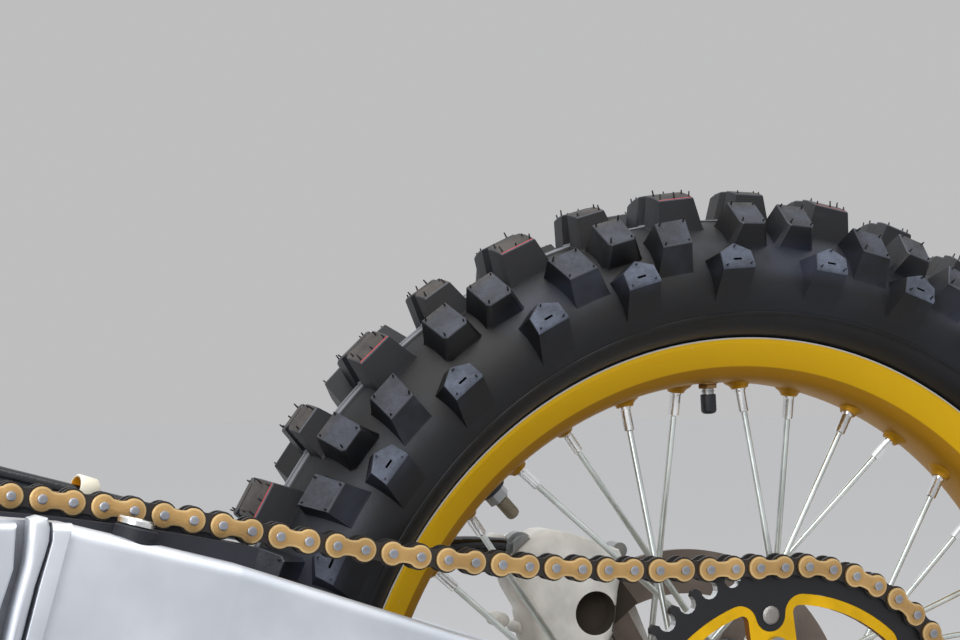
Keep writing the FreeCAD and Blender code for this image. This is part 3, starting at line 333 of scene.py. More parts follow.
finishes = {
    "rubber": tyreRubber(),
    "lugTop": lugTop(),
    # the lug tops' chamfer, a bluish grey: painted sky reflection
    "lugEdge": plainPlastic("lugEdge", colour(54, 57, 65), 0.45),
    "gold": rimGold(),
    "zinc": plainMetal("spokeZinc", colour(228, 235, 232), 0.3, grain=50.0, spread=0.04,
                       depth=0.00001),
    "nipple": plainMetal("nippleBright", colour(244, 244, 243), 0.22),
    "hub": plainMetal("hubAlloy", colour(120, 120, 122), 0.5),
    "steel": plainMetal("plainSteel", colour(170, 172, 172), 0.35),
    "ringBlack": plainMetal("ringBlack", colour(8, 9, 14), 0.5, metallic=0.0),
    "carrier": plainMetal("carrierGold", colour(246, 192, 6), 0.42, metallic=0.55),
    "rivet": plainMetal("rivetGrey", colour(164, 160, 156), 0.42, grain=700.0, depth=0.0012),
    "disc": plainMetal("discSteel", colour(142, 130, 122), 0.45, metallic=0.85),
    "caliper": plainMetal("caliperCast", colour(246, 245, 240), 0.6, metallic=0.0, grain=260.0,
                          depth=0.0006),
    "lining": plainPlastic("padLining", colour(60, 52, 44), 0.9),
    "arm": brushedArm(),
    "cast": armCast(),
    "slider": plainPlastic("sliderBlack", colour(15, 18, 28), 0.6),
    "hose": plainPlastic("hoseBlack", colour(9, 11, 17), 0.18),
    "clip": plainPlastic("clipWhite", colour(226, 220, 200), 0.5),
    "chainGold": plainMetal("chainGold", colour(204, 164, 106), 0.42, metallic=0.7, grain=900.0,
                            depth=0.0005),
    "pinEnd": plainMetal("pinEnd", colour(170, 172, 178), 0.35),
    "brass": plainMetal("valveBrass", colour(172, 140, 96), 0.4),
    "capBlack": plainPlastic("capBlack", colour(22, 24, 32), 0.45),
    "dustySteel": plainMetal("dustySteel", colour(150, 142, 124), 0.55, metallic=0.8),
    # the outer plates' sloped edge band, a paler gold: painted highlight
    "chainEdge": plainMetal("chainEdge", colour(222, 188, 132), 0.38, metallic=0.7),
    # the carrier's side walls, a darker brownish gold: painted shade
    "carrierWall": plainMetal("carrierWall", colour(150, 92, 14), 0.45, metallic=0.6),
    "toothPolish": plainMetal("toothPolish", colour(236, 238, 240), 0.22),
    "amber": plainPlastic("clipAmber", colour(226, 150, 20), 0.5),
    "chainDark": plainMetal("chainDark", colour(66, 63, 62), 0.4, metallic=0.7),
}
nodeFinish = {
    "rubber": ["tyre"],
    "gold": ["rim"],
    "zinc": ["spokes_left", "spokes_right"],
    "nipple": ["spoke_nipples"],
    "hub": ["hub", "hub_bearings"],
    "ringBlack": ["sprocket_ring", "valve_stem"],
    "steel": ["rim_lock", "axle", "axle_nut", "axle_washer", "left_adjuster", "right_adjuster",
              "slider_screw", "guide_bolts", "disc_bolts", "sprocket_bolts", "caliper_pins",
              "banjo_fitting", "pivot_collars", "front_sprocket"],
    "carrier": ["sprocket_carrier"],
    "rivet": ["sprocket_rivets"],
    "disc": ["brake_disc"],
    "caliper": ["caliper", "caliper_bracket"],
    "lining": ["brake_pads"],
    "arm": ["left_leg", "right_leg", "left_axle_end", "right_axle_end", "left_spacer",
            "right_spacer"],
    "cast": ["yoke", "left_axle_block", "right_axle_block", "guide_bracket"],
    "slider": ["chain_slider", "chain_guide"],
    "hose": ["brake_hose"],
    "clip": ["hose_clips"],
    "chainGold": ["chain"],
}
for finishName, nodeNames in nodeFinish.items():
    for nodeName in nodeNames:
        paint(nodeName, finishes[finishName])
print("finishes on", sum(len(names) for names in nodeFinish.values()), "nodes")


# Modelling helpers: everything is built with Blender's own tools, as by hand

def startPiece():
    if bpy.context.object and bpy.context.object.mode == "EDIT":
        bpy.ops.object.mode_set(mode="OBJECT")
    bpy.ops.object.select_all(action="DESELECT")


# Makes a piece the only one that is selected
def takeUp(piece):
    startPiece()
    piece.select_set(True)
    bpy.context.view_layer.objects.active = piece


def openPiece():
    bpy.ops.object.mode_set(mode="EDIT")
    bpy.ops.mesh.select_mode(type="FACE")


def selectAll():
    bpy.ops.mesh.select_all(action="SELECT")


def faceOutward():
    selectAll()
    bpy.ops.mesh.normals_make_consistent(inside=False)


# Extrudes the selection, along Z by a height in millimetres
def pushUp(height):
    bpy.ops.mesh.extrude_region_move(TRANSFORM_OT_translate={"value": (0, 0, height * mm)})


def closePiece(name):
    bpy.ops.object.mode_set(mode="OBJECT")
    piece = bpy.context.object
    piece.name = name
    placed = piece.matrix_world.copy()
    piece.matrix_world = Matrix.Identity(4)
    piece.data.transform(placed)
    return piece


# Selects the faces, edges or vertices that pass a test on their middle and normal
def choose(kind, test):
    bpy.ops.mesh.select_mode(type={"faces": "FACE", "edges": "EDGE", "verts": "VERT"}[kind])
    bpy.ops.mesh.select_all(action="DESELECT")
    mesh = bmesh.from_edit_mesh(bpy.context.object.data)
    for item in getattr(mesh, kind):
        if kind == "faces":
            middle, way = item.calc_center_median(), item.normal
        elif kind == "edges":
            middle, way = (item.verts[0].co + item.verts[1].co) / 2, item
        else:
            middle, way = item.co, item.normal
        if test(middle, way):
            item.select_set(True)
    mesh.select_flush_mode()
    bmesh.update_edit_mesh(bpy.context.object.data)


# A flat outline: a circle's corners, each moved to its place
def drawOutline(corners):
    startPiece()
    bpy.ops.mesh.primitive_circle_add(vertices=len(corners), radius=10 * mm, fill_type="NGON")
    openPiece()
    mesh = bmesh.from_edit_mesh(bpy.context.object.data)
    mesh.verts.ensure_lookup_table()
    for vert, corner in zip(mesh.verts, corners):
        vert.co = Vector(corner).to_3d() * mm
    bmesh.update_edit_mesh(bpy.context.object.data)
    faceOutward()


# An outline pushed up to a slab
def drawSlab(corners, thick):
    drawOutline(corners)
    pushUp(thick)
    faceOutward()


# A piece drawn in X and Y turned into X and Z, its near face to the left, and put in its place
def standUp(piece, place):
    piece.data.transform(Matrix.Translation(place) @ Matrix.Rotation(math.radians(90), 4, "X"))
    return piece


# A profile turned once round the axle
def turnProfile(name, corners, steps):
    startPiece()
    bpy.ops.mesh.primitive_plane_add(size=mm)
    openPiece()
    selectAll()
    bpy.ops.mesh.merge(type="CENTER")
    bpy.ops.mesh.select_mode(type="VERT")
    place = Vector((0, 0, 0))
    for across, out in list(corners) + [corners[0]]:
        corner = Vector((0, across, out)) * mm
        if place == Vector((0, 0, 0)):
            selectAll()
            bpy.ops.transform.translate(value=corner)
        else:
            bpy.ops.mesh.extrude_region_move(TRANSFORM_OT_translate={"value": corner - place})
        place = corner
    selectAll()
    bpy.ops.mesh.remove_doubles(threshold=0.01 * mm)
    bpy.ops.mesh.spin(steps=steps, angle=math.radians(360), center=(0, 0, 0), axis=(0, 1, 0))
    selectAll()
    bpy.ops.mesh.remove_doubles(threshold=0.01 * mm)
    bpy.ops.mesh.normals_make_consistent(inside=False)
    piece = closePiece(name)
    piece.data.transform(Matrix.Translation(wheelCentre))
    return piece


def placeCopy(model, matrix):
    copy = model.copy()
    copy.data = model.data.copy()
    copy.data.transform(matrix)
    bpy.context.scene.collection.objects.link(copy)
    return copy


def joinAll(name, pieces):
    startPiece()
    for piece in pieces:
        piece.select_set(True)
    bpy.context.view_layer.objects.active = pieces[0]
    if len(pieces) > 1:
        bpy.ops.object.join()
    joined = bpy.context.object
    joined.name = name
    return joined


def dropModel(model):
    bpy.data.objects.remove(model)


def wear(piece, *materials):
    piece.data.materials.clear()
    for material in materials:
        piece.data.materials.append(material)
    return piece


# The faces that pass a test get the piece's second material
def markFaces(piece, test):
    for face in piece.data.polygons:
        face.material_index = 1 if test(face) else 0


def smooth(piece, angle=30):
    takeUp(piece)
    bpy.ops.object.shade_smooth_by_angle(angle=math.radians(angle))
    return piece


def applyModifier(piece, kind, **settings):
    takeUp(piece)
    bpy.ops.object.modifier_add(type=kind)
    modifier = piece.modifiers[-1]
    for key, value in settings.items():
        setattr(modifier, key, value)
    bpy.ops.object.modifier_apply(modifier=modifier.name)


def cutAway(piece, cutter):
    applyModifier(piece, "BOOLEAN", operation="DIFFERENCE", object=cutter, solver="EXACT")
    dropModel(cutter)


def polar(radius, degrees):
    angle = math.radians(degrees)
    return radius * math.cos(angle), radius * math.sin(angle)


# Tyre: a carcass turned from its section, and six kinds of lug copied round it

tyre = {
    "carcass": [(0, 326.2), (5.0, 326.0), (5.8, 325.2), (6.2, 323.8), (7.4, 323.6), (8.0, 324.5),
                (16.6, 322.6), (24, 319.8), (30.6, 316.1), (36.6, 311.5),
                (41.8, 306.3), (46.4, 300.2), (50.2, 293.3), (53, 285.5), (54.4, 277), (53.9, 271),
                (53.4, 269.4), (54.1, 268.8), (54.0, 268.0), (52.6, 267.2), (51.6, 265.4),
                (48.4, 261.6), (44, 258.5), (39, 256.4), (33, 254.8), (27.3, 252),
                (27.3, 241.3), (22, 241.3), (22, 256), (36, 268), (42, 281), (38, 298), (22, 310),
                (0, 315)],
    "steps": 240,
    "sectionRadius": 277.0,
    "crownRadius": 64.0,
    "period": 36.0,
    "rightTurn": 9.0,
    "wallHeight": 14.0,
    "crownRise": 2.9,
    "crownRound": 55.0,
    "groove": (60, 1.2, 0, 1.6),
    "footSpread": 1.3,
    "footSteps": [(-0.9, 1.3), (-0.3, 1.12), (1.1, 0.96)],
    "topSteps": [(-0.6, 0.02), (0, -0.11)],
    "crownFoot": -2.0,
    "wrapGaps": (-0.4, 0.2, 1.3),
}


def mirrored(corners):
    return [(-along, across) for along, across in reversed(corners)]


# The outline of a lug in the middle row: a notch in each end, corners where its top bends
def centreOutline(half, reach, notch, depth):
    steps = [reach, reach * 0.75, reach * 0.5, notch]
    end = [(half, across) for across in steps] + [(half - depth, 0)]
    end += [(half, -across) for across in reversed(steps)]
    return end + [(-along, -across) for along, across in end]


# Each lug: its top's and its foot's outline (along, across), the lean of its place round the
# section, its height over the lug round, its angles, its slot if it has one, and its hairs
outerTop = [(11, 9.3), (8.3, -9.3), (-11.5, -9.3), (-7.8, 9.3)]
outerFoot = [(14.6, 18), (11.5, -11), (-12.5, -11), (-8, 18)]
lugKinds = {
    "side": {"top": [(10.4, 7.2), (10, -3.3), (0, -8.6), (-10, -3.3), (-10.4, 7.2)],
             "foot": [(13, 19.5), (13.5, -4), (0.5, -10.5), (-10.5, -4.5), (-8.5, 19.5)],
             "tilt": 67.5, "rise": 1.0, "angles": (82.4, 94.4, 106.4), "slot": (5.4, 1.3, 1.6, 1.4),
             "hairs": [(-7.6, 5.2), (7.8, 5.0), (0.2, -6.6)]},
    "outer": {"top": outerTop, "foot": outerFoot, "tilt": 48.3, "rise": 0.6, "angles": (136.5,),
              "slot": None, "hairs": [(-6.6, 7.3), (9, 7.6), (-9.4, -7.4), (6.4, -7.6)]},
    "outerMirrored": {"top": mirrored(outerTop), "foot": mirrored(outerFoot), "tilt": 48.3,
                      "rise": 0.6, "angles": (148.5,), "slot": None,
                      "hairs": [(6.6, 7.3), (-9, 7.6), (9.4, -7.4), (-6.4, -7.6)]},
    "inner": {"top": [(6.8, 11), (8.6, 9), (8.6, -11), (-9.3, -11), (-9.3, 8), (-7, 11)],
              "foot": [(9.8, 13), (12.5, 10.6), (12, -12.5), (-12.4, -12.5), (-13, 11), (-11, 13)],
              "tilt": 37.7, "rise": 0.8, "angles": (121.3, 127.0, 142.4), "slot": None,
              "hairs": [(-7, 8.4), (6.6, 8.2), (-7.6, -9.2), (6.9, -9)]},
    "centreWide": {"top": centreOutline(11.4, 22.5, 5.0, 4.0),
                   "foot": centreOutline(15.0, 26.5, 7.6, 4.4),
                   "tilt": 0.0, "rise": 0.0, "angles": (133.5, 151.5), "slot": None,
                   "hairs": [(-9.4, 20.4), (9.2, 20), (-9.2, -20.2), (9.4, -20), (-9, 12),
                             (9, -13.4), (9, 11), (-9, -12), (0, 20)]},
    "centreNarrow": {"top": centreOutline(9.0, 17.5, 4.2, 3.4),
                     "foot": centreOutline(12.6, 21.5, 6.6, 3.8),
                     "tilt": 0.0, "rise": 0.0, "angles": (142.7, 160.7), "slot": None,
                     "hairs": [(-7, 15.4), (7, 15.2), (-7.2, -15.2), (7, -15.4), (0, -15),
                               (7, -9), (-7, 9)]},
}


def between(top, foot, share):
    return [(a + (c - a) * share, b + (d - b) * share) for (a, b), (c, d) in zip(top, foot)]


# Moves the selected ring's corners from one outline to the next
def moveRing(before, after):
    mesh = bmesh.from_edit_mesh(bpy.context.object.data)
    for vert in mesh.verts:
        if vert.select:
            spot = vert.co.xy / mm
            near = min(range(len(before)), key=lambda k: (Vector(before[k]) - spot).length)
            vert.co.x, vert.co.y = after[near][0] * mm, after[near][1] * mm
    bmesh.update_edit_mesh(bpy.context.object.data)


# A lug grows from its foot: ring by ring its outline is raised and drawn in to its top
def modelLug(kind, side):
    lug = lugKinds[kind]
    top, foot = lug["top"], lug["foot"]
    if side > 0:
        top, foot = mirrored(top), mirrored(foot)
    low = lug["rise"] - tyre["wallHeight"]
    outline = between(top, foot, tyre["footSpread"])
    drawOutline(outline)
    heights = [(low + step, share) for step, share in tyre["footSteps"]]
    heights += [(lug["rise"] + step, share) for step, share in tyre["topSteps"]]
    for (before, _), (height, share) in zip(heights, heights[1:]):
        wanted = between(top, foot, share)
        pushUp(height - before)
        moveRing(outline, wanted)
        outline = wanted
    if kind.startswith("centre"):
        for across in sorted({across for along, across in outline}):
            selectAll()
            bpy.ops.mesh.bisect(plane_co=(0, across * mm, 0), plane_no=(0, 1, 0))
    faceOutward()
    model = closePiece("lug")
    wear(model, finishes["rubber"], finishes["lugTop"], finishes["lugEdge"])
    levels = sorted({round(vert.co.z, 6) for vert in model.data.vertices})
    # upward faces get the lug-top finish and the top's chamfer the edge finish: painted sky
    # reflection, partly dust
    for face in model.data.polygons:
        raised = face.center.z > levels[-2] + 0.01 * mm
        face.material_index = (1 if face.normal.z > 0.9 else 2) if raised else 0
    for ring in range(3):
        group = model.vertex_groups.new(name=f"ring{ring}")
        group.add([vert.index for vert in model.data.vertices
                   if abs(vert.co.z - levels[ring]) < 1e-5], 1, "REPLACE")
    model.data.transform(Matrix.Translation((0, 0, heights[0][0] * mm)))
    if kind.startswith("centre"):
        crownTop(model)
        cutSlot(model, tyre["groove"])
    if lug["slot"]:
        cutSlot(model, lug["slot"])
    return model


def crownHeight(across):
    return tyre["crownRise"] - across ** 2 / 2 / tyre["crownRound"]


# The middle lugs' tops follow the tread's crown
def crownTop(model):
    for vert in model.data.vertices:
        if vert.co.z > tyre["crownFoot"] * mm:
            vert.co.z += crownHeight(vert.co.y / mm) * mm


def cutSlot(model, slot):
    length, width, middle, depth = (value * mm for value in slot)
    top = max(vert.co.z for vert in model.data.vertices)
    startPiece()
    bpy.ops.mesh.primitive_cube_add(size=1)
    cutter = bpy.context.object
    size = Matrix.Diagonal((length, width, 2 * depth, 1))
    cutter.data.transform(Matrix.Translation((0, middle, top)) @ size)
    cutAway(model, cutter)


# The frame of a lug: X along the tread, Y towards the rim, Z out of the carcass
def lugPlace(angle, tilt, side):
    around = math.radians(angle)
    out = Vector((math.cos(around), 0, math.sin(around)))
    along = Vector((-math.sin(around), 0, math.cos(around))) * -side
    lean = math.radians(tilt)
    normal = out * math.cos(lean) + Vector((0, side, 0)) * math.sin(lean)
    across = normal.cross(along)
    centre = wheelCentre + out * tyre["sectionRadius"] * mm + normal * tyre["crownRadius"] * mm
    turned = Matrix((along, across, normal)).transposed().to_4x4()
    return Matrix.Translation(centre) @ turned


# Angles are measured from the rear, upwards; the right half is the left half's mirror, turned
def lugPlaces(kind, side):
    shift = tyre["rightTurn"] if side > 0 else 0
    for turn in range(10):
        for angle in lugKinds[kind]["angles"]:
            yield lugPlace(angle + shift + tyre["period"] * turn, lugKinds[kind]["tilt"], side)


def makeTyre():
    left = [(-across, out) for across, out in reversed(tyre["carcass"][1:-1])]
    carcass = turnProfile("tyreCarcass", tyre["carcass"] + left, tyre["steps"])
    wear(carcass, finishes["rubber"], finishes["lugTop"], finishes["lugEdge"])
    lugs = []
    spews = []
    hair = modelHair()
    for kind, lug in lugKinds.items():
        centred = kind.startswith("centre")
        for side in ((-1,) if centred else (-1, 1)):
            model = modelLug(kind, side)
            for matrix in lugPlaces(kind, side):
                lugs.append(placeCopy(model, matrix))
                for along, across in lug["hairs"]:
                    top = crownHeight(across) if centred else lug["rise"]
                    spot = (-side * along * mm, across * mm, (top - hairs["sink"]) * mm)
                    lean = hairs["lean"]
                    tip = Matrix.Rotation(random.uniform(-lean, lean), 4, "X")
                    tip = tip @ Matrix.Rotation(random.uniform(-lean, lean), 4, "Y")
                    stood = matrix @ Matrix.Translation(spot) @ tip
                    length = hairRoom(stood, random.uniform(hairs["shortest"], 1.0))
                    if length > hairs["least"]:
                        spews.append(placeCopy(hair, stood @ Matrix.Diagonal((1, 1, length, 1))))
            dropModel(model)
    dropModel(hair)
    tread = joinAll("tyreLugs", lugs)
    for ring, gap in enumerate(tyre["wrapGaps"]):
        applyModifier(tread, "SHRINKWRAP", target=carcass, vertex_group=f"ring{ring}",
                      wrap_method="NEAREST_SURFACEPOINT", wrap_mode="ABOVE_SURFACE",
                      offset=gap * mm)
    smooth(carcass, 40)
    smooth(tread, 35)
    whole = joinAll("tyreTread", [carcass, tread])
    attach(whole, "wheel")
    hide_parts("tyre")
    count = len(spews)
    whole = wear(joinAll("tyreHairs", spews), finishes["rubber"])
    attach(whole, "wheel")
    print("tyre with", len(lugs), "lugs and", count, "hairs")


# The mould's hairs: round stubs that lean a little and stop short of the object's box
hairs = {"foot": 0.62, "tip": 0.4, "height": 4.2, "spare": 0.2, "sink": 0.4, "lean": 0.25,
         "shortest": 0.4, "least": 0.12, "flat": 0.1}


def modelHair():
    startPiece()
    bpy.ops.mesh.primitive_cone_add(vertices=5, radius1=hairs["foot"] * mm,
                                    radius2=hairs["tip"] * mm, depth=hairs["height"] * mm,
                                    location=(0, 0, hairs["height"] / 2 * mm))
    return closePiece("hair")


# A hair's share of its full length that stays inside the object's box
def hairRoom(stood, wanted):
    foot = stood.translation
    reach = stood.to_3x3() @ Vector((0, 0, hairs["height"] * mm))
    for low, high, start, way in zip(cadLow, cadHigh, foot, reach):
        if abs(way) > hairs["flat"] * mm:
            edge = high if way > 0 else low
            wanted = min(wanted, (abs(edge - start) - hairs["spare"] * mm) / abs(way))
    return wanted


makeTyre()


# Rim: a smooth gold band down each side, a hollow bed, and a flared boss for each nipple

rim = {
    "outside": [(35, 254), (35, 251.6), (34.4, 250.2), (25.6, 238), (24.6, 236.8), (23, 234.8),
                (20.6, 231.6), (17.2, 229.2), (12.6, 227.7), (6.6, 226.9), (0, 226.6)],
    "inside": [(0, 229.3), (12, 229.3), (19, 240.9), (27.1, 240.9), (27.1, 252), (29.2, 254)],
    "steps": 180,
    "bossRings": [(11.0, -3.0), (8.6, 0.4), (6.8, 1.6), (5.6, 3.0), (5.0, 4.3), (3.7, 4.3)],
    "bossSink": 3,
    "bed": 224.5,
}
spokeLayout = {
    "count": 36,
    "first": 148.09,
    "aside": 4.0,
    "lead": 60.0,
    "hubHole": 42.0,
    "hubAside": 30.0,
    "flangeHalf": 3.0,
    "radius": 1.9,
    "outerGap": 2.0,
    "innerGap": 0.1,
}


# Both ends of a spoke, in millimetres from the wheel's centre, as the frame's spokes run
def spokeEnds(k):
    side = 1 if k % 2 else -1
    angle = spokeLayout["first"] - k * 360 / spokeLayout["count"]
    turn = 1 if k % 4 < 2 else -1
    gap = spokeLayout["outerGap"] if turn > 0 else spokeLayout["innerGap"]
    reach = spokeLayout["flangeHalf"] + spokeLayout["radius"] + gap
    x, z = polar(spokeLayout["hubHole"], angle + turn * spokeLayout["lead"])
    hubEnd = Vector((x, side * (spokeLayout["hubAside"] + turn * reach), z))
    x, z = polar(rim["bed"], angle)
    return hubEnd, Vector((x, side * spokeLayout["aside"], z))


# A frame at one place, its Z along a direction
def aimed(place, way):
    turned = way.to_track_quat("Z", "Y").to_matrix().to_4x4()
    return Matrix.Translation(wheelCentre + place * mm) @ turned


# A round piece along Z that grows ring by ring from a disc: (radius, height) from its base up
def growRings(name, rings, corners, *materials):
    startPiece()
    radius, base = rings[0]
    bpy.ops.mesh.primitive_circle_add(vertices=corners, radius=radius * mm, fill_type="NGON",
                                      location=(0, 0, base * mm))
    openPiece()
    selectAll()
    for wanted, height in rings[1:]:
        pushUp(height - base)
        bpy.ops.transform.resize(value=(wanted / radius, wanted / radius, 1),
                                 center_override=(0, 0, height * mm))
        radius, base = wanted, height
    faceOutward()
    return wear(closePiece(name), *materials)


def makeRim():
    outside = rim["outside"]
    section = outside + [(-across, out) for across, out in reversed(outside[:-1])]
    inside = rim["inside"]
    section += [(-across, out) for across, out in reversed(inside[1:])] + inside
    band = wear(turnProfile("rimBand", section, rim["steps"]), finishes["gold"])
    smooth(band, 38)
    boss = smooth(growRings("boss", rim["bossRings"], 20, finishes["gold"]), 60)
    bosses = []
    for k in range(spokeLayout["count"]):
        hubEnd, rimEnd = spokeEnds(k)
        foot = rimEnd + (rimEnd - hubEnd).normalized() * rim["bossSink"]
        bosses.append(placeCopy(boss, aimed(foot, hubEnd - rimEnd)))
    dropModel(boss)
    whole = joinAll("rimGold", [band] + bosses)
    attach(whole, "wheel")
    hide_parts("rim")
    print("rim with", len(bosses), "bosses")


makeRim()


# Nipples: a round neck, four flats for the key and a blunt end

nipple = {
    "rings": [(3.6, -4.0), (3.6, 2.2), (3.3, 3.4), (3.3, 14.6), (2.9, 15.6), (2.3, 16.0),
              (2.0, 16.0)],
    "flat": 2.9,
    "flatFrom": 3.3,
    "flatTo": 14.8,
    "drawn": 0.9,
}


def makeNipples():
    model = growRings("nipple", nipple["rings"], 16, finishes["nipple"])
    takeUp(model)
    openPiece()
    drawn = nipple["drawn"]
    for turn in range(4):
        x, y = polar(nipple["flat"], 90 * turn)
        choose("verts", lambda place, way: nipple["flatFrom"] * mm < place.z < nipple["flatTo"] * mm
               and place.x * x + place.y * y > nipple["flat"] ** 2 * mm)
        bpy.ops.transform.resize(value=(drawn if x ** 2 > 1 else 1, drawn if y ** 2 > 1 else 1, 1),
                                 center_override=(0, 0, 0))
    model = smooth(closePiece("nipple"), 25)
    copies = []
    for k in range(spokeLayout["count"]):
        hubEnd, rimEnd = spokeEnds(k)
        copies.append(placeCopy(model, aimed(rimEnd, hubEnd - rimEnd)))
    dropModel(model)
    whole = joinAll("nipples", copies)
    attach(whole, "wheel")
    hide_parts("spoke_nipples")


makeNipples()


# Tube valve and rim lock, each a stack of turned pieces that points at the axle

stacks = {
    "valve": {"angle": 93.1, "node": "valve_stem", "slot": "valve_black", "pieces": [
        ("brass", 24, [(6.8, -2.6), (6.8, -1.9), (5.6, -1.7)]),
        ("brass", 6, [(5.9, -1.7), (6.2, -1.3), (6.2, 0.6), (5.7, 1.0)]),
        ("steel", 20, [(3.6, 0.9), (3.6, 2.2), (4.0, 2.4), (4.0, 2.9), (3.6, 3.1), (3.6, 5.4)]),
        ("capBlack", 20, [(4.4, 4.6), (4.8, 5.0), (4.8, 14.2), (4.5, 15.4), (3.6, 16.2),
                          (2.2, 16.6)])]},
    "rimLock": {"angle": 133.1, "node": "rim_lock", "slot": "bolt_steel", "pieces": [
        ("capBlack", 24, [(9.2, -2.6), (9.2, -0.4), (8.6, 0.4), (7.0, 0.7)]),
        ("steel", 6, [(6.4, 0.6), (7.0, 1.1), (7.0, 6.8), (6.4, 7.3)]),
        ("dustySteel", 20, [(4.0, 6.8), (4.0, 19.6), (3.5, 20.6), (2.6, 21.2)])],
        "threads": range(8, 19), "thread": [(3.9, 0), (4.25, 0.3), (4.25, 0.5), (3.9, 0.8)]},
}


def makeStack(name):
    stack = stacks[name]
    x, z = polar(rim["bed"], stack["angle"])
    place = Vector((x, 0, z))
    pieces = []
    for finish, corners, rings in stack["pieces"]:
        pieces.append(smooth(growRings(name, rings, corners, finishes[finish]), 35))
    for height in stack.get("threads", ()):
        thread = [(radius, height + step) for radius, step in stack["thread"]]
        pieces.append(growRings(name, thread, 20, finishes["dustySteel"]))
    whole = joinAll(name, pieces)
    whole.data.transform(aimed(place, -place))
    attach(whole, "wheel")
    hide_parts(stack["node"])


for stackName in stacks:
    makeStack(stackName)
print("nipples, valve and rim lock made")


# Chain: pins a pitch apart along the same path as the frame's, plates joining them in pairs

chain = {
    "pitch": 15.875,
    "line": -78.5,
    "rearTeeth": 48,
    "frontTeeth": 13,
    "firstPin": 93.16,
    "firstOuter": 1,
    "runFlat": 45.0,
    "frontSlope": 0.115,
    "sliderSlope": 0.215,
    "sliderRear": 330.0,
    "sliderBend": 120.0,
    "leastSlack": 3.0,
    "rollerRadius": 5.08,
    "rollerHalf": 3.1,
    "innerPlate": (3.3, 5.2),
    "outerPlate": (5.7, 7.6),
    "outerLobe": (6.4, 3.6, 0.91),
    "innerLobe": (7.4, 3.0, 0.91),
    "slimLobe": (6.4, 3.0, 0.91),
    "slimBefore": -104.0,
    "edgeBand": 1.1,
    "edgeRise": 0.4,
    "waistDraw": 0.98,
    "longEdge": 5,
    "pinRadius": 2.6,
    "pinReach": 9.4,
    "pinInsets": [(0.5, 0.25), (0.8, 0.15)],
    "pinEndRise": 0.4,
    "pinEndDepth": 0.5,
    "rollerEdge": 0.5,
    "shaftSide": 5,
    "frontWrapEnd": 255,
    "rearWrap": 91,
}


# Height of the upper run above the axle
def runHeight(x, pitchRadius):
    if x > -chain["runFlat"]:
        return pitchRadius
    sagging = chain["sliderRear"] - chain["runFlat"]
    if x > -chain["sliderRear"]:
        return pitchRadius + chain["sliderSlope"] / 2 * (x + chain["runFlat"]) ** 2 / sagging
    height = pitchRadius + chain["sliderSlope"] / 2 * sagging
    step = -chain["sliderRear"] - x
    easing = (chain["sliderSlope"] - chain["frontSlope"]) / 2 / chain["sliderBend"]
    if step < chain["sliderBend"]:
        return height + chain["sliderSlope"] * step - easing * step ** 2
    height += (chain["sliderSlope"] + chain["frontSlope"]) / 2 * chain["sliderBend"]
    return height + chain["frontSlope"] * (step - chain["sliderBend"])


def nextPin(x, pitchRadius):
    height = runHeight(x, pitchRadius)
    low, high = x - chain["pitch"], x - chain["pitch"] / 2
    for _ in range(50):
        middle = (low + high) / 2
        if math.hypot(x - middle, runHeight(middle, pitchRadius) - height) > chain["pitch"]:
            low = middle
        else:
            high = middle
    return low


# Pin places, from the rear sprocket's top forwards along the upper run and round
def pinPlaces():
    pitch = chain["pitch"]
    rear = pitch / 2 / math.sin(math.pi / chain["rearTeeth"])
    front = pitch / 2 / math.sin(math.pi / chain["frontTeeth"])
    axle = Vector((wheelCentre.x, wheelCentre.z)) / mm
    shaft = Vector((shaftCentre.x, shaftCentre.z)) / mm
    pins = []
    x, z = polar(rear, chain["firstPin"])
    while True:
        pins.append(axle + Vector((x, z)))
        x = nextPin(x, rear)
        z = runHeight(x, rear)
        there = axle + Vector((x, z))
        if there.x < shaft.x + chain["shaftSide"] or (there - shaft).length < front:
            break
    gap = pins[-1] - shaft
    reach = (gap.length ** 2 + front ** 2 - pitch ** 2) / 2 / gap.length / front
    angle = math.degrees(math.atan2(gap.y, gap.x) + math.acos(max(-1, min(1, reach))))
    while angle < chain["frontWrapEnd"]:
        pins.append(shaft + Vector(polar(front, angle)))
        angle += 360 / chain["frontTeeth"]
    leave = pins[-1]
    wrap = round((chain["firstPin"] + chain["rearWrap"]) * chain["rearTeeth"] / 360)
    bottomAngle = chain["firstPin"] - wrap * 360 / chain["rearTeeth"]
    bottom = axle + Vector(polar(rear, bottomAngle))
    span = (bottom - leave).length
    links = math.ceil((span + chain["leastSlack"]) / pitch)
    if (len(pins) + links - 1 + wrap) % 2:
        links += 1
    low, high = 1e-6, math.pi / links
    for _ in range(60):
        bend = (low + high) / 2
        if pitch / math.sin(bend / 2) * math.sin(links * bend / 2) > span:
            low = bend
        else:
            high = bend
    slope = math.atan2(bottom.y - leave.y, bottom.x - leave.x)
    heading = slope - links * bend / 2 + bend / 2
    place = leave.copy()
    for _ in range(links - 1):
        place = place + Vector((math.cos(heading), math.sin(heading))) * pitch
        heading += bend
        pins.append(place)
    for k in range(wrap):
        pins.append(axle + Vector(polar(rear, bottomAngle + k * 360 / chain["rearTeeth"])))
    return pins


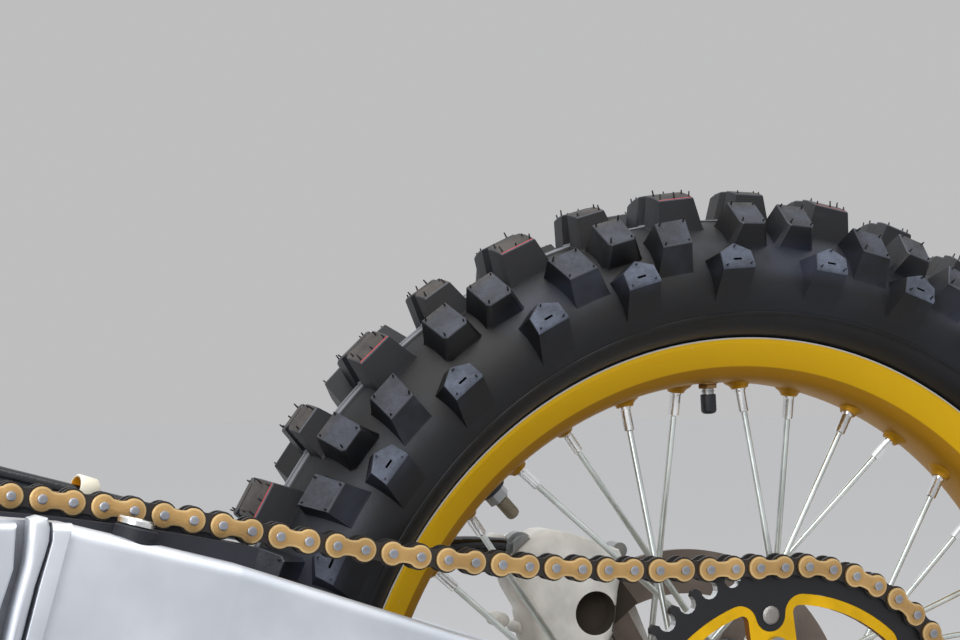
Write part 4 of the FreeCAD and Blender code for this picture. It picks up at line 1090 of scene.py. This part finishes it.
# One plate lying along X, its pins half a pitch each way: a lobe, drawn in to the waist, mirrored
def modelPlate(span, lobe, banded, material):
    inner, outer = span
    radius, start, drawn = lobe
    half = chain["pitch"] / 2
    startPiece()
    bpy.ops.mesh.primitive_circle_add(vertices=22, radius=radius * mm, fill_type="NGON",
                                      location=(half * mm, 0, 0))
    bpy.ops.object.transform_apply(location=True)
    openPiece()
    selectAll()
    bpy.ops.mesh.bisect(plane_co=(start * mm, 0, 0), plane_no=(1, 0, 0), clear_inner=True)
    choose("edges", lambda middle, edge: middle.x < (start + 0.1) * mm
           and edge.calc_length() > chain["longEdge"] * mm)
    for narrowed in (drawn, chain["waistDraw"]):
        bpy.ops.mesh.extrude_region_move(TRANSFORM_OT_translate={"value": (-start / 2 * mm, 0, 0)})
        bpy.ops.transform.resize(value=(1, narrowed, 1))
    selectAll()
    bpy.ops.mesh.dissolve_faces()
    bpy.ops.object.mode_set(mode="OBJECT")
    plate = bpy.context.object
    applyModifier(plate, "MIRROR", merge_threshold=0.05 * mm)
    openPiece()
    selectAll()
    bpy.ops.mesh.dissolve_faces()
    rise = chain["edgeRise"] if banded else 0
    pushUp(outer - inner - rise)
    bpy.ops.mesh.inset(thickness=(chain["edgeBand"] if banded else chain["edgeRise"]) * mm,
                       depth=rise * mm)
    faceOutward()
    plate = closePiece("plate")
    # the outer plates' sloped edge band gets the paler gold: painted highlight
    wear(plate, material, finishes["chainEdge"] if banded else material)
    markFaces(plate, lambda face: 0.3 < face.normal.z < 0.99)
    plate.data.transform(Matrix.Translation((0, 0, inner * mm)))
    return plate


def modelPin():
    startPiece()
    bpy.ops.mesh.primitive_cylinder_add(vertices=12, radius=chain["pinRadius"] * mm,
                                        depth=2 * chain["pinReach"] * mm)
    openPiece()
    choose("faces", lambda middle, way: abs(way.z) > 0.9)
    for thickness, depth in chain["pinInsets"]:
        bpy.ops.mesh.inset(thickness=thickness * mm, depth=depth * mm)
    pin = closePiece("pin")
    reach = chain["pinReach"]
    pin.data.transform(Matrix.Scale((reach - chain["pinEndRise"]) / reach, 4, (0, 0, 1)))
    wear(pin, finishes["steel"], finishes["pinEnd"])
    markFaces(pin, lambda face: abs(face.center.z) > (reach - chain["pinEndDepth"]) * mm)
    return pin


def modelRoller():
    startPiece()
    bpy.ops.mesh.primitive_cylinder_add(vertices=18, radius=chain["rollerRadius"] * mm,
                                        depth=2 * chain["rollerHalf"] * mm)
    openPiece()
    choose("edges", lambda middle, edge: abs(abs(middle.z) - chain["rollerHalf"] * mm) < 0.01 * mm)
    bpy.ops.mesh.bevel(offset=chain["rollerEdge"] * mm, segments=1)
    return wear(closePiece("roller"), finishes["steel"])


# A link's frame: X along the run, Z out to the bike's left, at the middle between two pins
def linkPlace(first, second, side):
    middle = (first + second) / 2
    along = (second - first).normalized()
    x = Vector((along.x, 0, along.y))
    z = Vector((0, side, 0))
    turned = Matrix((x, z.cross(x), z)).transposed().to_4x4()
    return Matrix.Translation(Vector((middle.x, chain["line"], middle.y)) * mm) @ turned


def makeChain():
    pins = pinPlaces()
    outer = modelPlate(chain["outerPlate"], chain["outerLobe"], True, finishes["chainGold"])
    inner = modelPlate(chain["innerPlate"], chain["innerLobe"], False, finishes["chainDark"])
    slim = modelPlate(chain["innerPlate"], chain["slimLobe"], False, finishes["chainDark"])
    pin = modelPin()
    roller = modelRoller()
    pieces = []
    for k, first in enumerate(pins):
        second = pins[(k + 1) % len(pins)]
        wrapped = min(first.x, second.x) < chain["slimBefore"]
        plate = outer if (k + chain["firstOuter"]) % 2 else slim if wrapped else inner
        for side in (-1, 1):
            pieces.append(placeCopy(plate, linkPlace(first, second, side)))
        spot = linkPlace(first, first + Vector((1, 0)), -1)
        spot.translation = Vector((first.x, chain["line"], first.y)) * mm
        pieces.append(placeCopy(pin, spot))
        pieces.append(placeCopy(roller, spot))
    for model in (outer, inner, slim, pin, roller):
        dropModel(model)
    whole = smooth(joinAll("driveChain", pieces), 40)
    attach(whole, "swingarm")
    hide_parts("chain")
    print("chain with", len(pins), "pins")


makeChain()


# Rear sprocket: a black toothed ring with rivet lobes round a gold carrier with six windows

sprocket = {
    "teeth": 48,
    "firstSeat": 93.16,
    "seat": 5.3,
    "toothHeight": 4.5,
    "toothTip": 3.0,
    "core": 84.0,
    "left": -81.4,
    "right": -75.6,
    "opening": 105.5,
    "rivets": 6,
    "firstRivet": 98.0,
    "rivetRadius": 94.5,
    "lobe": 9.4,
    "lobeFillet": 11.0,
    "bore": 60.0,
    "armHalf": 14.6,
    "windowOuter": 99.0,
    "windowInner": 69.0,
    "windowRound": 5.0,
    "cutOver": 1,
    "toothWaist": 1.0,
    "tipChamfer": 0.6,
    "tipShare": 0.5,
    "polishReach": 0.3,
    "plateGap": 0.12,
    "plateSink": 0.25,
    "head": [(2.9, -5.6), (2.9, 0.0), (5.4, 0.0), (5.4, 0.5), (4.8, 1.1), (3.6, 1.6), (1.6, 1.9),
             (0.6, 1.95)],
}


# A flat outline in the wheel's own plane, pushed across from the sprocket's left face
def pushAcross(name, corners, low, high, material):
    drawSlab(corners, high - low)
    return wear(standUp(closePiece(name), wheelCentre + Vector((0, high * mm, 0))), material)


# A cutter from just left of the sprocket to just right of it
def cutterAcross(corners, material):
    low, high = sprocket["left"] - sprocket["cutOver"], sprocket["right"] + sprocket["cutOver"]
    return pushAcross("cutter", corners, low, high, material)


def arcPoints(centre, radius, start, finish, count):
    points = []
    for k in range(count):
        x, z = polar(radius, start + (finish - start) * k / (count - 1))
        points.append((centre[0] + x, centre[1] + z))
    return points


# One tooth gap with half a tooth each side
def toothOutline(pitchRadius):
    step = 180 / sprocket["teeth"]
    tip = pitchRadius + sprocket["toothHeight"]
    tipHalf = math.degrees(sprocket["toothTip"] / 2 / tip)
    seat = arcPoints((pitchRadius, 0), sprocket["seat"], -70, -290, 9)
    outline = [polar(tip, -step), polar(tip, tipHalf - step)] + seat
    outline += [polar(tip, step - tipHalf), polar(tip, step)]
    return outline + [polar(sprocket["core"], step), polar(sprocket["core"], -step)]


def modelTooth(pitchRadius):
    thick = sprocket["right"] - sprocket["left"]
    drawSlab(toothOutline(pitchRadius), thick)
    waist = (pitchRadius - sprocket["toothWaist"]) * mm
    bpy.ops.mesh.bisect(plane_co=(waist, 0, 0), plane_no=(1, 0, 0))
    tip = (pitchRadius + sprocket["toothHeight"] - sprocket["tipChamfer"]) * mm
    choose("verts", lambda place, way: place.xy.length > tip)
    bpy.ops.transform.resize(value=(1, 1, sprocket["tipShare"]),
                             center_override=(0, 0, thick / 2 * mm))
    step = math.radians(180 / sprocket["teeth"])
    choose("faces", lambda middle, way: abs(abs(math.atan2(middle.y, middle.x)) - step) < 0.002
           and abs(way.z) < 0.3)
    bpy.ops.mesh.delete(type="FACE")
    model = closePiece("tooth")
    wear(model, finishes["ringBlack"], finishes["toothPolish"])
    seat = Vector((pitchRadius * mm, 0))
    reach = (sprocket["seat"] + sprocket["polishReach"]) * mm
    markFaces(model, lambda face: (face.center.xy - seat).length < reach
              and abs(face.normal.z) < 0.3 and face.normal.x > -0.2)
    return model


# The ring's inner edge: a circle that dips round each rivet
def openingOutline(shrink=0.0):
    opening = sprocket["opening"] - shrink
    fillet = sprocket["lobeFillet"] - shrink
    lobe = sprocket["lobe"] + shrink
    reach = opening - fillet
    gap = lobe + fillet
    far = sprocket["rivetRadius"]
    turn = math.degrees(math.acos((reach ** 2 + far ** 2 - gap ** 2) / 2 / reach / far))
    outline = []
    share = 360 / sprocket["rivets"]
    for k in range(sprocket["rivets"]):
        angle = sprocket["firstRivet"] + k * share
        rivet = Vector(polar(far, angle))
        before, after = Vector(polar(reach, angle - turn)), Vector(polar(reach, angle + turn))
        first, last = (math.degrees(math.atan2(*reversed(rivet - centre)))
                       for centre in (before, after))
        come = angle - turn + (first - angle + turn) % 360
        leave = angle + turn - (angle + turn - last) % 360
        outline += arcPoints(before, fillet, angle - turn, come, 8)
        outline += arcPoints(rivet, lobe, come + 180, leave + 180, 14)[1:-1]
        outline += arcPoints(after, fillet, leave, angle + turn, 8)
        outline += arcPoints((0, 0), opening, angle + turn, angle + share - turn, 14)[1:-1]
    return outline


def windowOutline(angle):
    half = 180 / sprocket["rivets"]
    outline = []
    for radius, turn in ((sprocket["windowOuter"], 1), (sprocket["windowInner"], -1)):
        spread = turn * (half - math.degrees(math.asin(sprocket["armHalf"] / radius)))
        outline += arcPoints((0, 0), radius, angle - spread, angle + spread, 9)
    return outline


def makeSprocket():
    pitchRadius = chain["pitch"] / 2 / math.sin(math.pi / sprocket["teeth"])
    low, high = sprocket["left"], sprocket["right"]
    tooth = modelTooth(pitchRadius)
    teeth = []
    for k in range(sprocket["teeth"]):
        turn = math.radians(sprocket["firstSeat"] + k * 360 / sprocket["teeth"])
        teeth.append(placeCopy(tooth, Matrix.Rotation(turn, 4, "Z")))
    dropModel(tooth)
    ring = joinAll("toothedRing", teeth)
    openPiece()
    selectAll()
    bpy.ops.mesh.remove_doubles(threshold=0.02 * mm)
    bpy.ops.mesh.normals_make_consistent(inside=False)
    ring = standUp(closePiece("toothedRing"), wheelCentre + Vector((0, high * mm, 0)))
    cutAway(ring, cutterAcross(openingOutline(), finishes["ringBlack"]))
    smooth(ring, 25)
    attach(ring, "wheel")
    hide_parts("sprocket_ring")
    carrier = pushAcross("carrierPlate", openingOutline(sprocket["plateGap"]),
                         low + sprocket["plateSink"], high, finishes["carrier"])
    bore = arcPoints((0, 0), sprocket["bore"], 0, 354, 60)
    cutAway(carrier, cutterAcross(bore, finishes["carrier"]))
    for k in range(sprocket["rivets"]):
        angle = sprocket["firstRivet"] + (k + 0.5) * 360 / sprocket["rivets"]
        takeUp(cutterAcross(windowOutline(angle), finishes["carrier"]))
        openPiece()
        choose("edges", lambda middle, edge: abs((edge.verts[0].co - edge.verts[1].co).y) > mm
               and len(edge.link_faces) == 2
               and edge.link_faces[0].normal.angle(edge.link_faces[1].normal) > 1.0)
        bpy.ops.mesh.bevel(offset=sprocket["windowRound"] * mm, segments=5)
        cutAway(carrier, closePiece("cutter"))
    # the carrier's side walls get the darker gold: painted shade
    wear(carrier, finishes["carrier"], finishes["carrierWall"])
    markFaces(carrier, lambda face: abs(face.normal.y) < 0.3)
    smooth(carrier, 30)
    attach(carrier, "wheel")
    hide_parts("sprocket_carrier")
    dome = smooth(growRings("rivet", sprocket["head"], 20, finishes["rivet"]), 40)
    rivets = []
    for k in range(sprocket["rivets"]):
        x, z = polar(sprocket["rivetRadius"], sprocket["firstRivet"] + k * 360 / sprocket["rivets"])
        rivets.append(placeCopy(dome, aimed(Vector((x, low, z)), Vector((0, -1, 0)))))
    dropModel(dome)
    heads = joinAll("rivetHeads", rivets)
    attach(heads, "wheel")
    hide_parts("sprocket_rivets")
    print("sprocket with", len(teeth), "teeth")


makeSprocket()


# Swingarm: the forging's raised rim, the ridge behind it and the leg's front edge, each a plate
# on the arm's left side with its own outline (X, Z)

armSide = {
    "forgingRim": {"outline": [(62, 9.6), (114.4, 9.0), (113.0, -13.4), (107, -31.8), (103, -47.5),
                               (95, -80), (48, -74)],
                   "inner": -118, "outer": -125.4, "edge": 1.6, "topEdge": 4.0},
    "seamRidge": {"outline": [(119.6, 11.4), (124.4, 12.6), (129.6, 11.2), (130.7, 6), (130.3, 0),
                              (128, -8), (123.6, -21.5), (117, -47.5), (108.6, -80), (99.6, -80),
                              (108.4, -47.4), (111.8, -32), (117.8, -10), (118.9, 0)],
                  "inner": -118, "outer": -128.2, "edge": 4.2, "topEdge": 0},
    "legFront": {"outline": [(132.0, 8.7), (142, 8.0), (133.5, -25), (118.6, -80), (110.4, -80),
                             (118.8, -47.5), (125.4, -21.5), (131.6, 0)],
                 "inner": -118, "outer": -126.05, "edge": 0.8, "topEdge": 5.0},
}


def makeSidePlate(name):
    plate = armSide[name]
    thick = plate["inner"] - plate["outer"]
    drawSlab(plate["outline"], thick)
    top = max(z for x, z in plate["outline"])
    if plate["topEdge"]:
        choose("edges", lambda middle, edge: middle.z > (thick - 0.1) * mm
               and middle.y > (top - 2) * mm)
        bpy.ops.mesh.bevel(offset=plate["topEdge"] * mm, segments=5)
    choose("edges", lambda middle, edge: middle.z > (thick - 0.1) * mm and edge.is_manifold
           and edge.calc_face_angle() > 0.6)
    bpy.ops.mesh.bevel(offset=plate["edge"] * mm, segments=4)
    piece = standUp(closePiece(name), (0, plate["inner"] * mm, 0))
    smooth(wear(piece, finishes["arm"]), 40)
    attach(piece, "swingarm")


for plateName in armSide:
    makeSidePlate(plateName)


# A frame on the swingarm, its Z along a direction, in millimetres from the pivot
def armFrame(place, way):
    turned = Vector(way).to_track_quat("Z", "Y").to_matrix().to_4x4()
    return Matrix.Translation(Vector(place) * mm) @ turned


# The slider's screw on its round tab
sliderScrew = {
    "head": [(3, -18), (3, 0), (9.2, 0.6), (9.6, 1.1), (9.6, 3.6), (9.0, 4.4), (5.4, 4.6),
             (4.8, 4.0), (1.2, 3.8)],
    "headPlace": (176.6, -107, 4.2),
    "tab": [(11.2, -8), (11.2, 2.6), (10.6, 3.4), (9.4, 3.6)],
    "tabPlace": (176.6, -107, 0.8),
}


def makeSliderScrew():
    normal = (math.sin(armDroop), 0, math.cos(armDroop))
    screw = smooth(growRings("sliderScrew", sliderScrew["head"], 28, finishes["nipple"]), 35)
    screw.data.transform(armFrame(sliderScrew["headPlace"], normal))
    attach(screw, "swingarm")
    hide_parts("slider_screw")
    pad = smooth(growRings("sliderTab", sliderScrew["tab"], 28, finishes["slider"]), 35)
    pad.data.transform(armFrame(sliderScrew["tabPlace"], normal))
    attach(pad, "swingarm")


makeSliderScrew()


# The slider's middle rib, up to the rollers of the upper run
sliderRib = {"front": -6.0, "rear": 236.0, "above": -60, "half": 2.8, "top": -4.6, "bottom": -13.0}


def makeSliderRib():
    run = [pin for pin in pinPlaces()
           if sliderRib["front"] < pin.x < sliderRib["rear"] and pin.y > sliderRib["above"]]
    run.sort(key=lambda pin: pin.x)
    outline = [(pin.x, pin.y + sliderRib["top"]) for pin in run]
    outline += [(pin.x, pin.y + sliderRib["bottom"]) for pin in reversed(run)]
    drawSlab(outline, 2 * sliderRib["half"])
    piece = standUp(closePiece("sliderRib"), (0, (chain["line"] + sliderRib["half"]) * mm, 0))
    wear(piece, finishes["slider"])
    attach(piece, "swingarm")


makeSliderRib()


# Hose clips: a pale hook round the hose, its mouth to the front, on a small foot
hoseClips = {
    "places": [(186.0, 104.4, 13.5), (294.4, 101.5, -16.2)],
    "way": (0.93, 0.27, -0.25),
    "cup": [(5.8, 10.6), (5.9, 1.3), (6.6, 0.2), (7.4, 0), (8.1, 0.9), (7.8, 12.2), (7.1, 13.0),
            (5.6, 13.0)],
    "mouth": (6.3, 11),
    "foot": (8.0, 6.0, 16.0),
    "footRound": 0.8,
    "footFrom": (6.0, 0, -14.0),
}


def makeHoseClips():
    pieces = []
    for place in hoseClips["places"]:
        cup = growRings("clipCup", hoseClips["cup"], 24, finishes["clip"], finishes["amber"])
        radius, depth = (value * mm for value in hoseClips["mouth"])
        markFaces(cup, lambda face: face.center.xy.length < radius and face.center.z < depth)
        cup.data.transform(armFrame(place, hoseClips["way"]))
        pieces.append(smooth(cup, 40))
        startPiece()
        bpy.ops.mesh.primitive_cube_add(size=1)
        openPiece()
        selectAll()
        bpy.ops.transform.resize(value=[side * mm for side in hoseClips["foot"]])
        bpy.ops.mesh.bevel(offset=hoseClips["footRound"] * mm, segments=2)
        foot = closePiece("clipFoot")
        low = Vector(place) + Vector(hoseClips["footFrom"])
        foot.data.transform(Matrix.Translation(low * mm))
        pieces.append(wear(foot, finishes["clip"]))
    clips = joinAll("hoseHooks", pieces)
    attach(clips, "swingarm")
    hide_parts("hose_clips")


makeHoseClips()


# Caliper: a smooth casting over the disc's edge, its piston mouth dark, and its pins' ends
caliper = {
    "outline": [(445.2, -32), (450.5, -26.1), (458.8, -19.8), (467.1, -16.2), (473.1, -16),
                (481.4, -17.6), (491, -20.7), (503.1, -24.4), (514, -28.6), (517, -36),
                (515.2, -43.6), (513, -54.4), (512, -63.1), (510, -80), (500, -98), (470, -100),
                (458, -84), (455.2, -65.5), (447, -52.1), (442.8, -41.1)],
    "near": 39.5,
    "far": 83.0,
    "edge": 7.0,
    "mouth": (495.8, -67.1),
    "mouthRings": [(13.6, 0), (13.6, 15)],
    "mouthStart": -1,
    "liningFrom": 0.5,
    "discRoom": (122.5, 58.6, 65.4),
    "knobs": [(442.8, 70, -23.6), (454.8, 70, -24.0), (444.8, 72, -72.3), (459.6, 74, -77.5)],
    "knobRings": [(4.6, -12), (4.6, 4), (4.2, 6), (3.2, 7.6), (1.6, 8.4)],
    "boss": (520.7, 83.6, -86.2),
    "bossRings": [(6.6, -4), (6.6, 5), (5.8, 6), (3.2, 6), (3.0, 1)],
}


def makeCaliper():
    deep = caliper["far"] - caliper["near"]
    drawSlab(caliper["outline"], deep)
    choose("edges", lambda middle, edge: middle.z > (deep - 0.1) * mm or middle.z < 0.1 * mm)
    bpy.ops.mesh.bevel(offset=caliper["edge"] * mm, segments=5)
    body = standUp(closePiece("caliperBody"), (0, caliper["far"] * mm, 0))
    wear(body, finishes["caliper"], finishes["lining"])
    x, z = caliper["mouth"]
    mouth = growRings("cutter", caliper["mouthRings"], 32, finishes["lining"])
    mouth.data.transform(armFrame((x, caliper["near"] + caliper["mouthStart"], z), (0, 1, 0)))
    cutAway(body, mouth)
    radius, low, high = caliper["discRoom"]
    room = growRings("cutter", [(radius, low), (radius, high)], 96, finishes["caliper"])
    room.data.transform(Matrix.Translation(wheelCentre)
                        @ Matrix.Rotation(math.radians(-90), 4, "X"))
    cutAway(body, room)
    inside = (caliper["mouthRings"][0][0] + 0.1) * mm
    lined = (caliper["near"] + caliper["liningFrom"]) * mm
    markFaces(body, lambda face: face.center.y > lined
              and math.hypot(face.center.x - x * mm, face.center.z - z * mm) < inside)
    pieces = [smooth(body, 35)]
    turned = [("knob", place, caliper["knobRings"]) for place in caliper["knobs"]]
    for name, place, rings in turned + [("boss", caliper["boss"], caliper["bossRings"])]:
        piece = smooth(growRings(name, rings, 20, finishes["caliper"]), 40)
        piece.data.transform(armFrame(place, (0, -1, 0)))
        pieces.append(piece)
    whole = joinAll("caliperCast", pieces)
    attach(whole, "swingarm")
    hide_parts("caliper")


makeCaliper()
print("arm details and caliper made")


# Studio: floor and sky look pale and even to the camera, and the light comes from above

studio = {
    "floorDrop": 0.0005,
    "floorSize": 40.0,
    "floorMiddle": 0.5,
    "seen": colour(190, 190, 191),
    "floorLit": colour(112, 110, 108),
    "sky": [(0.0, colour(104, 104, 104)), (0.48, colour(168, 168, 170)),
            (0.58, colour(206, 208, 212)), (1.0, colour(255, 255, 255))],
    "skyStrength": 1.1,
}


def makeStudio():
    bpy.ops.object.select_all(action="DESELECT")
    bpy.ops.mesh.primitive_plane_add(size=studio["floorSize"])
    floor = bpy.context.object
    floor.name = "studioFloor"
    low = cadLow.z - studio["floorDrop"]
    floor.data.transform(Matrix.Translation((studio["floorMiddle"], 0, low)))
    finish = Finish("floorGrey", Roughness=0.9)
    seen = finish.node("ShaderNodeLightPath", output="Is Camera Ray")
    gloss = finish.node("ShaderNodeLightPath", output="Is Glossy Ray")
    pale = (seen + gloss).atMost(1.0)
    finish.set(Base_Color=finish.mix(pale, studio["floorLit"], studio["seen"]))
    floor.data.materials.append(finish.material)
    world = bpy.data.worlds.new("paleSky")
    world.use_nodes = True
    bpy.context.scene.world = world
    tree = world.node_tree
    sky = tree.nodes["Background"]
    sky.inputs["Strength"].default_value = studio["skyStrength"]
    place = tree.nodes.new("ShaderNodeTexCoord")
    split = tree.nodes.new("ShaderNodeSeparateXYZ")
    tree.links.new(place.outputs["Generated"], split.inputs[0])
    height = tree.nodes.new("ShaderNodeMapRange")
    height.inputs["From Min"].default_value = -1.0
    tree.links.new(split.outputs[2], height.inputs["Value"])
    ramp = tree.nodes.new("ShaderNodeValToRGB")
    stops = studio["sky"]
    for position, tint in stops[1:-1]:
        ramp.color_ramp.elements.new(position).color = (*tint, 1)
    ramp.color_ramp.elements[0].color = (*stops[0][1], 1)
    ramp.color_ramp.elements[-1].color = (*stops[-1][1], 1)
    tree.links.new(height.outputs[0], ramp.inputs[0])
    seen = tree.nodes.new("ShaderNodeLightPath")
    blend = tree.nodes.new("ShaderNodeMix")
    blend.data_type = "RGBA"
    tree.links.new(seen.outputs["Is Camera Ray"], blend.inputs[0])
    tree.links.new(ramp.outputs[0], blend.inputs[6])
    plain = [share / studio["skyStrength"] for share in studio["seen"]]
    blend.inputs[7].default_value = (*plain, 1)
    tree.links.new(blend.outputs[2], sky.inputs["Color"])


lamps = {
    "overhead": {"place": (0.0, -0.7, 2.4), "aim": (0.3, 0, 0), "size": 2.6, "watts": 50},
    "frontFill": {"place": (-1.7, -2.4, 1.1), "aim": (0.3, 0, -0.1), "size": 2.0, "watts": 46},
}


def makeLamps():
    for name, lamp in lamps.items():
        light = bpy.data.lights.new(name, "AREA")
        light.size = lamp["size"]
        light.energy = lamp["watts"]
        holder = bpy.data.objects.new(name, light)
        holder.location = lamp["place"]
        way = Vector(lamp["aim"]) - Vector(lamp["place"])
        holder.rotation_euler = way.to_track_quat("-Z", "Y").to_euler()
        bpy.context.scene.collection.objects.link(holder)


# Camera, fitted to the chain's pitch and the rim in the photograph

camera = {
    "fromWheel": (-0.6293, -1.2177, 0.2379),
    "yaw": 21.033,
    "pitch": 1.138,
    "lens": 83.37,
    "sensor": 36.0,
    "clipEnd": 100,
}


def makeCamera():
    data = bpy.data.cameras.new("camera")
    data.lens = camera["lens"]
    data.sensor_width = camera["sensor"]
    data.clip_end = camera["clipEnd"]
    holder = bpy.data.objects.new("camera", data)
    holder.location = wheelCentre + Vector(camera["fromWheel"])
    holder.rotation_euler = (math.radians(90 + camera["pitch"]), 0, -math.radians(camera["yaw"]))
    bpy.context.scene.collection.objects.link(holder)
    bpy.context.scene.camera = holder


makeStudio()
makeLamps()
makeCamera()
bpy.context.scene.view_settings.view_transform = "Standard"
print("studio and camera made")
